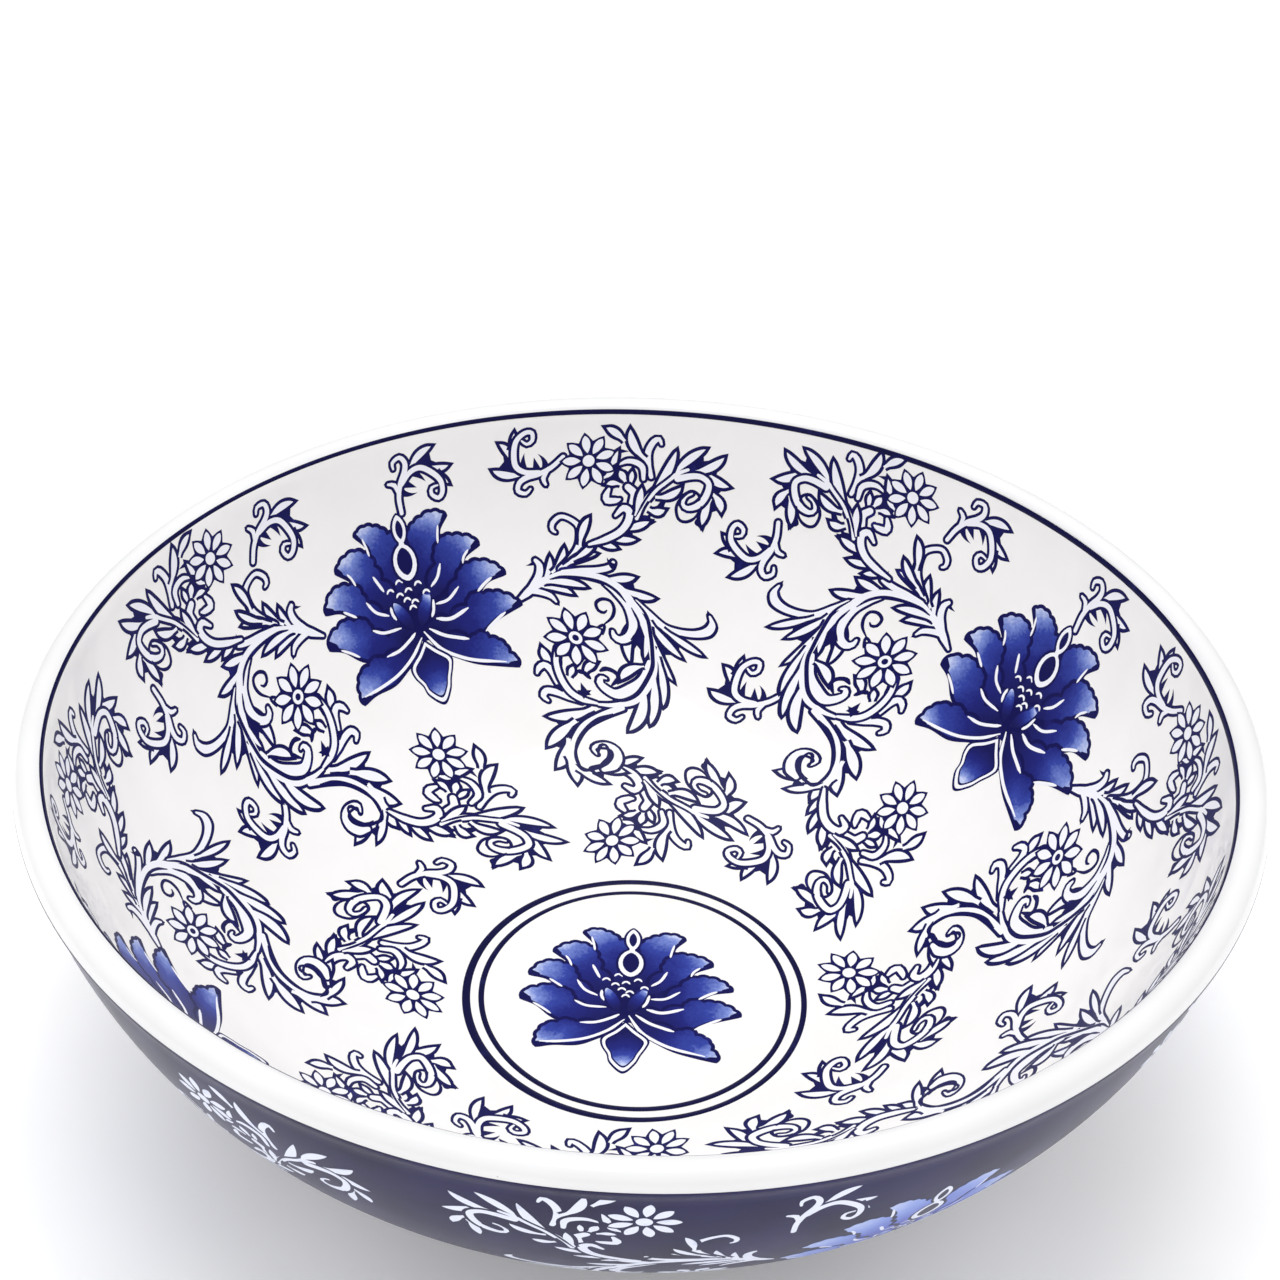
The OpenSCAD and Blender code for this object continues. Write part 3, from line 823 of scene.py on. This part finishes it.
# %% The long scroll
SCROLL = [
    ("thorn", (51.5, 17.5), (45.5, 15), 3.2, .12),
    ("fan", [((50.5, 8), (56, 17.5), 2, -.1), ((55, 11), (62.5, 20.5), 2.2, -.1)]),
    ("band", [(59, 12), (63.5, 15.5), (68, 20), (70, 25), (70, 29), (67, 32), (63.5, 33), (60, 30.5),
     (59.5, 28), (60.5, 27)], [2.2, 2.2, 2.4, 2.2, 2, 1.6, 1.5, 1.6, 1.4, .8]),
    ("leaf", (69, 21), (75, 32), 2.4, .06),
    ("fan", [((60.5, 13), (74.5, 17.5), 2.2, .06), ((64.5, 15.5), (75.5, 22.5), 2, -.06)]),
    ("band", [(59.5, 11), (67, 11), (73.5, 11), (78.5, 12), (80.5, 14)], [1.6, 2.2, 2.2, 2, 1.2]),
    ("thorn", (80.5, 12), (78.5, 16), 3.2, .14),
    ("fan", [((46.5, 6), (61, 2), 2.6, .1), ((50.5, 7.5), (67, 4.5), 2.6, .06)]),
    ("band", [(44, 5), (48, 4), (52, 2), (53.5, -.5)], [2.2, 2.2, 2, .8], 2.2),
    ("stem", [(38.5, 1.5), (43, 4), (48, 7), (53.5, 9)], [.8, 2.6, 3.2, 2.4]),
    ("stem", [(42.5, 4), (47, 7.5), (50, 11), (51, 14.5), (50, 16.5)], [1.2, 2.4, 2.6, 2.4, 1.6]),
    ("fan", [((75.5, 7.5), (87.5, 8), 2.6, -.04), ((80.5, 4), (93, 0), 2.6, -.08)]),
    ("band", [(85, -2), (88.5, -6.5), (93.5, -11.5), (99.5, -13), (105.5, -13), (110.5, -11.5),
     (113.5, -8.5), (113.5, -5.5)], [2.5, 3, 2.6, 2.2, 2.4, 2.8, 2.4, 1], 2.6),
    ("fan", [((92.5, -12), (105, -21), 2.5, -.04), ((88, -9), (96, -23), 3, -.06), ((87.5, -11),
     (89, -32.5), 3.3, -.08), ((86.5, -23), (81, -43), 2.5, .05), ((82.5, -29), (72.5, -51), 3, .05),
     ((76.5, -34), (63, -54), 3.3, .1)]),
    ("fan", [((84.5, -8), (74.5, -25.5), 3.2, -.12), ((86.5, -9.5), (81, -24), 2, .05)]),
    ("thorn", (86, -18.5), (82.5, -26.5), 4, 0),
    ("band", [(75.5, 6), (79, 2), (81.5, -4), (81, -11), (78, -15.5), (74, -17), (72, -15.5), (72, -13.5)],
     [3, 4, 3.5, 3.2, 3, 2.8, 2.2, 1]),
    ("line", [(61, -29.5), (64, -28.5), (67, -30), (67.5, -32.5), (63.5, -35.5)], 1.9),
    ("band", [(82.5, -26), (77, -33), (70.5, -37), (64.5, -39), (61, -37), (59.5, -34), (61, -32),
     (62.5, -32.5)], [2.4, 3, 3.7, 3.7, 3.3, 2.5, 1.5, .7]),
    ("leaf", (79.5, -27.5), (68, -33), 2.8, -.1, 3, .2),
    ("stem", [(52.5, 9), (60.5, 10.5), (68, 9.5), (75.5, 7), (81, 2.5), (84, -4.5), (85.5, -12), (85, -22),
     (82, -30.5), (76.5, -37), (69.5, -42), (61.5, -43.5), (55.5, -43)], [1.6, 2.4, 2.6, 3, 3.2, 3.2, 3, 3,
     2.4, 2.4, 2.4, 1.8, 1]),
    ("line", [(82.5, -4), (83.5, -10), (81.5, -14), (78, -17)], 1.1),
    ("line", [(84.5, -.5), (87.5, -7), (86.5, -15.5), (84.5, -23), (82.5, -28), (77.5, -34), (72, -39),
     (66, -41.5), (61.5, -41.5)], 1.6),
    ("line", [(53.5, 8.5), (59, 9), (67, 8), (74, 6), (78.5, 2.5), (81, -2)], 1.3),
    ("line", [(69, -11), (73.5, -8), (75.5, -4.5), (75, -1.5), (72, -.5), (69, -2), (69, -5), (71, -6),
     (72.5, -5)], 1.4),
    ("line", [(66, -12), (69.5, -11), (67.5, -15)], 1.2),
    ("fan", [((47.5, -22), (44, -27), 2, 0), ((43.5, -26), (42, -18), 3, .05)]),
    ("band", [(36.5, -28), (38, -26), (40.5, -25), (42.5, -27.5), (43.5, -32.5), (44.5, -37), (47.5, -40)],
     [.8, 2, 2.4, 2.8, 3, 2.4, 1]),
    ("band", [(36.5, -39.5), (35.5, -37.5), (37.5, -35.5), (41, -36.5), (45, -39), (49, -41.5)], [1, 2, 2.4,
     2.6, 2.4, 1.2]),
    ("thorn", (44, -35), (40, -34), 4, 0),
    ("band", [(48, -19), (45.5, -24.5), (45, -31), (46.5, -37), (50, -40.5), (55, -42.5)], [1.6, 2, 2.2,
     2.4, 2.4, 1]),
    ("leaf", (55, -30), (61, -26), 2.4, .1),
    ("leaf", (48.5, -31), (51.5, -27), 2),
    ("line", [(52, -29), (54.5, -29.5), (56.5, -32.5)], 2),
    ("thorn", (52, -39), (52, -33.5), 4.2, 0),
    ("thorn", (50, -38.5), (55, -37), 4, 0),
    ("daisy", (56.5, -15.5), 12.8, 9, 93, True),
    ("fan", [((52.5, -44.5), (34, -46), 3.4, .08), ((44, -49), (29, -58), 3.6, -.02), ((38, -56),
     (28.5, -67.5), 3.6, .08), ((34.5, -63), (33, -75), 3.6, .06), ((35.5, -69), (44, -76), 2.6, -.05),
     ((42, -70.5), (53.5, -71.5), 3.2, .06)]),
    ("band", [(46, -63.5), (45.5, -61.5), (47.5, -60), (51.5, -60), (54, -62), (53.5, -65.5), (50, -69),
     (45.5, -70.5)], [.8, 1.2, 1.4, 2.2, 2.8, 3, 3, 1.6]),
    ("stem", [(64, -44.5), (53.5, -48), (46, -51.5), (40, -57), (36.5, -62), (35.5, -67), (37, -70),
     (40, -71.5)], [2.2, 2.2, 2.2, 2, 1.9, 1.8, 1.6, 1]),
    ("line", [(59.5, -47), (52.5, -49), (46.5, -52.5), (41, -57.5), (38, -63), (37.5, -68.5)], 1.1),
    ("line", [(36, -67), (37.5, -70), (40.5, -70), (45, -69), (49, -66), (51, -63), (51, -60), (49, -60),
     (47, -62.5), (46, -64.5)], 1.3),
]

# %% The spray
SPRAY = [
    ("fan", [((-26, 2.5), (-26.5, -1), 2.8, .02), ((-30, 12.5), (-34, 5.5), 3, -.12), ((-26, 22),
     (-36.5, 16), 3, .12), ((-21, 20), (-34, 27.5), 2.9, .1), ((-14, 18), (-26.5, 30), 2.9, -.05),
     ((-4.5, 7.5), (-15, 28), 3.2, .05)]),
    ("leaf", (-29.5, 10.5), (-26.5, -.5), 2.8, .03),
    ("line", [(-26, 7), (-23.5, 2), (-20, 0), (-17, 1), (-16, 5.5), (-18, 9.5), (-21.5, 12.5),
     (-24.5, 11.5), (-25, 9.5), (-23, 8)], 1.3),
    ("band", [(-16, 17), (-21.5, 18.5), (-25.5, 18.5), (-28.5, 16), (-27.5, 11), (-24.5, 7), (-20.5, 5.5),
     (-18.5, 7), (-19.5, 10), (-22, 11.5)], [2.6, 2.4, 2.2, 2.2, 2.4, 2.4, 1.8, 1.4, 1.1, .7]),
    ("fan", [((-7.5, 9), (-17.5, 13.5), 2.6, .14), ((-5, 4), (-11.5, 4), 2.6, .16), ((0, -.5), (-6, -1),
     2.4, .04)]),
    ("band", [(-5.5, 17), (-4, 22.5), (-4, 27.5), (-6, 31.5), (-8, 32.5), (-9, 30.5)], [1.6, 2.4, 2.4, 2.2,
     1.8, .9], 1.5),
    ("fan", [((-3, 24), (3.5, 36), 3.2, -.12), ((5.5, 31), (13, 36.5), 2.8, .06)]),
    ("thorn", (7.5, 27), (3.5, 27), 2, 0),
    ("band", [(-2.5, 16), (-2, 20.5), (.5, 22.5), (4, 23), (7.5, 21.5)], [1.4, 2.2, 2.2, 1.8, .7]),
    ("fan", [((2.5, 13.5), (2, 19), 1.8, 0), ((4.5, 14.5), (7, 19), 2.6, 0)]),
    ("leaf", (9.5, 16), (8, 27), 2.2, -.08),
    ("leaf", (6.5, 13.5), (12, 13.5), 2, .1),
    ("leaf", (13.5, 16), (9.5, 20), 2, .1),
    ("band", [(6.5, 7.5), (8, 7), (11.5, 7), (12, 9), (11, 11.5)], [.8, 2, 2.6, 2.4, 1.2]),
    ("band", [(3.5, 12.5), (1, 10), (2, 6)], [2.6, 3, 1.6]),
    ("daisy", (19.5, 23), 11.8, 9, 80, False),
    ("fan", [((15.5, -9.5), (7, -12), 2, 0), ((10.5, -8), (-.5, -8.5), 2.2, .03), ((5, -4.5), (-5.5, -1),
     2.6, .04)]),
    ("band", [(8, 1), (5, 4), (2.5, 2.5), (3, -1.5), (6, -5.5), (11.5, -8.5), (18, -10.5)], [1, 2.5, 2.8,
     2.8, 2.6, 2.4, 1]),
    ("leaf", (0, 1), (-2, 12.5), 2.6, .02),
    ("stem", [(-.5, 0), (-2.5, 5.5), (-5.5, 10), (-10.5, 14.5), (-16, 19), (-20, 21)], [1.4, 1.6, 1.8, 1.8,
     1.6, 1.2]),
    ("line", [(0, .5), (-3.5, 7.5), (-7, 12.5), (-12, 17), (-15, 20)], 1),
]

# %% The sprig
SPRIG = [
    ("thorn", (1, 8.5), (8, 6.5), 3.4, -.14),
    ("band", [(.5, 7.5), (-1, 11.5), (-3.5, 12.5)], [1.6, 1.8, 1], 2),
    ("fan", [((6, 16), (16, 23.5), 2.8, .1), ((12, 16.5), (22, 14.5), 2.4, -.12), ((17, 13.5), (21, 7.5),
     1.5, -.05)]),
    ("thorn", (3.5, 11), (8, 8.5), 3.4, 0),
    ("thorn", (7, 15), (12, 10), 3.6, .05),
    ("band", [(2, 11), (6, 15), (10.5, 16), (15, 13), (18, 9), (18, 4.5), (16, 2.5), (13.5, 4.5), (14, 7),
     (16.5, 7.5)], [1.6, 2, 2.2, 2.2, 2, 1.8, 1.7, 1.5, 1.2, .7]),
    ("stem", [(0, 0), (0, 6), (1.5, 11.5), (4, 16), (4.5, 19.5), (2.5, 22), (-.5, 20.5), (-.5, 18)], [1.6,
     1.8, 2, 2.2, 2, 1.7, 1.4, .8]),
]

# %% Draw the transfers
def strokes(drawing):
    """Flat outlines in painter's order: the ink of stems, then leaves, then their white and fine lines."""
    plain = {"leaf": leaf, "fan": fan, "band": band, "thorn": thorn, "daisy": daisy}
    low, mid, top = [], [], []
    for name, *v in drawing:
        if name in plain:
            mid += plain[name](*v)
        elif name == "stem":
            low += band(*v, parts=(INK,))
            top += band(*v, parts=(WHITE,))
        elif name == "line":
            top += line(*v)
        elif name == "heart":
            low += [(INK, [disc(*v, n=24)])]
        elif name == "petal":
            mid += petal(v[0], v[1])
            for shine, width in v[2]:
                top += line(shine, width, WHITE)
        elif name == "front":
            ring = smooth(v[0] + v[0][:1])[0][:-1]
            c = ring.mean(0)
            sizes = ((INK, 1.10), (WHITE, 1.0), (INK, 0.86), (WASH, 0.78))
            top += [(kind, [c + (ring - c) * size]) for kind, size in sizes]
        elif name == "cup":
            top += [(INK, [np.array(v[0], float)])]
            top += [(WASH, [smooth(q[3:] + q[:4])[0][:-1]]) for q in v[1]]
            for q in v[2]:
                top += line(q, 1.15, WHITE)
        elif name == "seeds":
            brow = ((-1.5, -0.9), (-0.8, 0.1), (0, 0.4), (0.8, 0.1), (1.5, -0.9))
            for x, y in v[0]:
                top += line([(x + a, y + b) for a, b in brow], 0.9, WHITE)
        elif name == "finial":
            a, b = np.array(v[0], float), np.array(v[1], float)
            top += [(INK, [oval(a, 11.6, 16.4), oval(b, 7.4, 13.6, 1.5)]),
                    (WHITE, [oval(a, 9.6, 14.6, 1.15), oval(b, 5.4, 11.8, 1.5), oval((a + b) / 2, 2.2, 6)]),
                    (INK, [oval(a + (0, 0.4), 6.4, 11, 1.3), oval(b, 3, 7.6, 1.5)])]
    return low + mid + top


drawings = {"lotus": LOTUS, "scroll": SCROLL, "spray": SPRAY, "sprig": SPRIG}
drawings = {name: strokes(drawing) for name, drawing in drawings.items()}
print({name: sum(len(shapes) for _, shapes in layers) for name, layers in drawings.items()}, "shapes")

# %% [markdown]
# A print is a stack of overlapping outlines. To make one clean sheet from it, all the outlines are cut
# against each other, every small triangle takes the kind of the outline painted last over it, and then
# only the borders between kinds are kept and cut again. Extra points let the sheet bend with the wall.

# %% Cut a drawing into one sheet
def within(points, ring):
    """Which points lie inside a closed outline, by winding number."""
    a, b = ring, np.roll(ring, -1, 0)
    x, y = points[:, :1], points[:, 1:]
    side = (b[:, 0] - a[:, 0]) * (y - a[:, 1]) - (x - a[:, 0]) * (b[:, 1] - a[:, 1])
    up = (a[:, 1] <= y) & (b[:, 1] > y) & (side > 0)
    down = (a[:, 1] > y) & (b[:, 1] <= y) & (side < 0)
    return (up.sum(1) - down.sum(1)) != 0


def painted(points, outlines):
    """For each point, the number of the outline that was painted last over it, or -1."""
    top = np.full(len(points), -1)
    for number, (kind, ring) in enumerate(outlines):
        close = ((points >= ring.min(0)) & (points <= ring.max(0))).all(1)
        near = np.nonzero(close)[0]
        if len(near):
            top[near[within(points[near], ring)]] = number
    return top


def cut(points, edges):
    sheet = delaunay_2d_cdt([tuple(p) for p in points], edges, [], 0, 1e-3, True)
    return np.array([tuple(p) for p in sheet[0]]), np.array(sheet[2])


def sided(triangles, kinds):
    """Every edge of every triangle in turn, with the triangle's kind."""
    for (a, b, c), kind in zip(triangles.tolist(), kinds.tolist()):
        for edge in ((a, b), (b, c), (c, a)):
            yield edge, kind


def petal_places(spots, triangles, number, outlines, washed):
    """How far each spot lies along its petal and away from the petal's middle line, from 0 to 1."""
    places = np.zeros((len(spots), 3))
    for k in washed:
        ring = outlines[k][1]
        reach = ring - ring[0]
        axis = reach[np.argmax((reach ** 2).sum(1))]
        across = np.array([-axis[1], axis[0]]) / np.linalg.norm(axis)
        wide = max(1e-6, np.abs(reach @ across).max())
        mine = np.unique(triangles[number == k])
        rel = spots[mine] - ring[0]
        places[mine, :2] = np.stack([rel @ axis / (axis @ axis), np.abs(rel @ across) / wide], 1)
    return places


def one_sheet(layers, grid=3.4):
    """Points, triangles, the kind of each triangle and the petal place of each point."""
    outlines = [(kind, ring) for kind, shapes in layers for ring in shapes]
    kinds = np.array([kind for kind, ring in outlines] + [-1])
    points, edges = [], []
    for kind, ring in outlines:
        n, m = len(points), len(ring)
        points += ring.tolist()
        edges += [(n + i, n + (i + 1) % m) for i in range(m)]
    spots, triangles = cut(points, edges)
    sides = {}
    for (a, b), kind in sided(triangles, kinds[painted(spots[triangles].mean(1), outlines)]):
        sides.setdefault((min(a, b), max(a, b)), []).append(kind)
    border = [edge for edge, k in sides.items() if k[0] != k[-1] or (len(k) == 1 and k[0] >= 0)]
    used = sorted({i for edge in border for i in edge})
    new = {old: i for i, old in enumerate(used)}
    low, high = spots.min(0), spots.max(0)
    extra = [(x + grid / 2 * (j % 2), y) for j, y in enumerate(np.arange(low[1], high[1], grid * 0.87))
             for x in np.arange(low[0], high[0], grid)]
    spots, triangles = cut([tuple(spots[i]) for i in used] + extra, [(new[a], new[b]) for a, b in border])
    number = painted(spots[triangles].mean(1), outlines)
    kept = kinds[number] >= 0
    triangles, number = triangles[kept], number[kept]
    washed = np.unique(number[kinds[number] == WASH])
    return spots, triangles, kinds[number], petal_places(spots, triangles, number, outlines, washed)

# %% [markdown]
# A printed sheet is wetted and smoothed onto the glaze. Here it becomes a film a few hundredths of a
# millimetre proud of it, with its underside inside the glaze and its edges closed. Distances up the sheet
# become distances up the wall, and distances across become angles round it.

# %% Lay a sheet on the bowl
def on_inside(deg, s, x, y, out):
    angle = -(math.radians(deg) + x / np.maximum(inside(s + y)[0], 1.0))
    return surface_points(inside, angle, s + y, out)


def on_outside(deg, s, x, y, out):
    return surface_points(outside, math.radians(deg) + x / outside(s - y)[0], s - y, out)


def on_floor(deg, s, x, y, out):
    return surface_points(inside, np.arctan2(y, x) + math.radians(deg), s + np.hypot(x, y), out)


def film(drawing, lay, deg, s, keep=(INK, WHITE, WASH), lift=LIFT, **how):
    """One print laid on the bowl, as points, faces, kinds and petal places of a closed film."""
    spots, triangles, kinds, places = one_sheet(moved(drawings[drawing], **how))
    chosen = np.isin(kinds, keep)
    triangles, kinds = triangles[chosen], kinds[chosen]
    used, flat = np.unique(triangles, return_inverse=True)
    triangles, spots, places = flat.reshape(-1, 3), spots[used], places[used]
    top, under = [lay(deg, s, spots[:, 0], spots[:, 1], out) for out in (lift, -SINK)]
    n = len(spots)
    sides = {}
    for (a, b), kind in sided(triangles, kinds):
        if (b, a) in sides:
            del sides[(b, a)]
        else:
            sides[(a, b)] = kind
    faces = triangles.tolist() + (triangles[:, ::-1] + n).tolist()
    faces += [[b, a, a + n, b + n] for a, b in sides]
    every_kind = kinds.tolist() * 2 + list(sides.values())
    return np.vstack([top, under]), faces, every_kind, np.vstack([places, places])


def print_mesh(name, films):
    points, faces, kinds, petals, start = [], [], [], [], 0
    for spots, shape, kind, places in films:
        points.append(spots)
        faces += [[i + start for i in face] for face in shape]
        kinds += kind
        petals.append(places)
        start += len(spots)
    mesh = bpy.data.meshes.new(name)
    mesh.from_pydata(np.vstack(points).tolist(), [], faces)
    mesh.attributes.new("kind", "INT", "FACE").data.foreach_set("value", kinds)
    stored = mesh.attributes.new("petal", "FLOAT_VECTOR", "POINT")
    stored.data.foreach_set("vector", np.vstack(petals).ravel())
    return mesh

# %% [markdown]
# Every print on the walls comes four times, a quarter turn apart, starting where the first lotus sits. A
# small tree copies a print round the axis, makes the copies real, and gives each kind of face its colour.

# %% Ring of prints
COLOURS = ((INK, "Ink"), (WHITE, "White"), (WASH, "Wash"))


def build_print_ring():
    tree, start, end = new_group(
        "print ring",
        [("Print", "NodeSocketGeometry", None), ("Count", "NodeSocketInt", 4),
         ("First Angle", "NodeSocketFloat", 0.0), ("Ink", "NodeSocketMaterial", None),
         ("White", "NodeSocketMaterial", None), ("Wash", "NodeSocketMaterial", None)],
        [("Prints", "NodeSocketGeometry")], "GeometryNodeTree")
    row = add(tree, "GeometryNodeMeshLine", Count=start.outputs["Count"], Offset=(0, 0, 0))
    share = sums(tree, "DIVIDE", 2 * math.pi, start.outputs["Count"])
    index = tree.nodes.new("GeometryNodeInputIndex").outputs[0]
    angle = sums(tree, "ADD", sums(tree, "MULTIPLY", index, share), start.outputs["First Angle"])
    spin = add(tree, "ShaderNodeCombineXYZ", Z=angle).outputs[0]
    shape = add(tree, "GeometryNodeInstanceOnPoints", Points=row.outputs[0],
                Instance=start.outputs["Print"], Rotation=spin)
    shape = add(tree, "GeometryNodeRealizeInstances", Geometry=shape.outputs[0])
    stored = add(tree, "GeometryNodeInputNamedAttribute", {"data_type": "INT"}, Name="kind")
    kind = next(s for s in stored.outputs if s.enabled and s.name == "Attribute")
    for number, label in COLOURS:
        same = add(tree, "FunctionNodeCompare", {"data_type": "INT", "operation": "EQUAL"},
                   i2=kind, i3=number)
        shape = add(tree, "GeometryNodeSetMaterial", Geometry=shape.outputs[0], Selection=same.outputs[0],
                    Material=start.outputs[label])
    tree.links.new(shape.outputs[0], end.inputs["Prints"])
    return tree


print_ring = build_print_ring()
FIRST_INSIDE, FIRST_OUTSIDE = math.radians(32.0), math.radians(28.0)


def lay_ring(name, films, colours, node, first, count=4):
    mesh = print_mesh(name + "_sheet", films)
    inks = {label: colour for (_, label), colour in zip(COLOURS, colours)}
    piece = run_tree(name, mesh, print_ring, Count=count, First_Angle=first, **inks)
    form = bmesh.new()
    form.from_mesh(piece.data)
    loose = sum(1 for edge in form.edges if not edge.is_manifold)
    triangles = sum(len(face.verts) - 2 for face in form.faces)
    volume = form.calc_volume(signed=True)
    form.free()
    piece.data.shade_smooth()
    piece.data.set_sharp_from_angle(angle=math.radians(30))
    finish(piece, node)
    print(name, triangles, "triangles, open edges", loose, "volume", round(volume * 1e9, 1), "mm3")

# %% [markdown]
# Inside, the prints stand like this. The lotus is the middle of each quarter. One long scroll starts at
# its right and the same print turned over starts at its left. Sprays hang under the rim and lie above the
# floor, and little sprigs fill the gaps. Each place is an angle from the lotus in degrees and a distance
# up the wall. Prints that meet are lifted by a hair's different heights, so one lies over the other.

# %% Prints inside
blue = (ink, window, lotus_wash)
LOTUS_S = 181
lay_ring("middle_lotus_print", [film("lotus", on_floor, 0, 0, to=(0.9, -9.3), scale=0.955)],
         blue, "medallion_lotus", 0.0, count=1)
lay_ring("wall_lotus_prints", [film("lotus", on_inside, 0, LOTUS_S, lift=0.08)],
         blue, "wall_lotuses", FIRST_INSIDE)
lay_ring("right_scroll_prints", [film("scroll", on_inside, 0, LOTUS_S)],
         blue, "right_scrolls", FIRST_INSIDE)
lay_ring("left_scroll_prints", [film("scroll", on_inside, -1.9, LOTUS_S + 6, lift=0.05,
                                     mirror=True, turn=-5.5)],
         blue, "left_scrolls", FIRST_INSIDE)
lay_ring("rim_spray_prints", [film("spray", on_inside, -32, 218, lift=0.07),
                              film("spray", on_inside, 29.9, 212.5, mirror=True, turn=-1, lift=0.07)],
         blue, "rim_sprays", FIRST_INSIDE)
lay_ring("floor_spray_prints", [film("spray", on_inside, -14.1, 107, mirror=True, turn=-75, lift=0.055),
                                film("spray", on_inside, 32.5, 107, turn=-161, lift=0.055)],
         blue, "floor_sprays", FIRST_INSIDE)
SPRIGS = [(0.3, 226, 0), (-20.5, 230.5, -25), (21, 238, 130),
          (-42, 217, 183), (-35.5, 151, 134), (-32.5, 98, -102)]
lay_ring("sprig_prints", [film("sprig", on_inside, deg, s, turn=turn, lift=0.045) for deg, s, turn in SPRIGS],
         blue, "sprigs", FIRST_INSIDE)

# %% [markdown]
# Outside, the same drawings are reserved in white on the cobalt, so only their white strokes show, and
# the lotus is washed in pale blue.

# %% Prints outside
pale = (outer_white, outer_white, pale_wash)
OUTER_LOTUS_S = 66
lay_ring("outer_lotus_prints", [film("lotus", on_outside, 0, OUTER_LOTUS_S, keep=(WHITE, WASH))],
         pale, "outer_lotuses", FIRST_OUTSIDE)
OUTER = [
    ("scroll", 0, OUTER_LOTUS_S, {}),
    ("scroll", -1.9, OUTER_LOTUS_S - 4, {"mirror": True, "turn": -5.5}),
    ("spray", -32, 35, {}),
    ("spray", 29.9, 40, {"mirror": True, "turn": -1}),
    ("sprig", -14, 26, {}),
]
lay_ring("outer_scroll_prints", [film(drawing, on_outside, deg, s, keep=(WHITE,), lift=0.05, **how)
                                 for drawing, deg, s, how in OUTER],
         pale, "outer_scrolls", FIRST_OUTSIDE)


# %% [markdown]
# The last cell measures the whole bowl against the CAD box and closes the scene.

# %% Finish
model_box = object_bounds()
for label, (low, high) in (("CAD box", cad_box), ("model box", model_box)):
    print(label, [round(v, 4) for v in high - low])
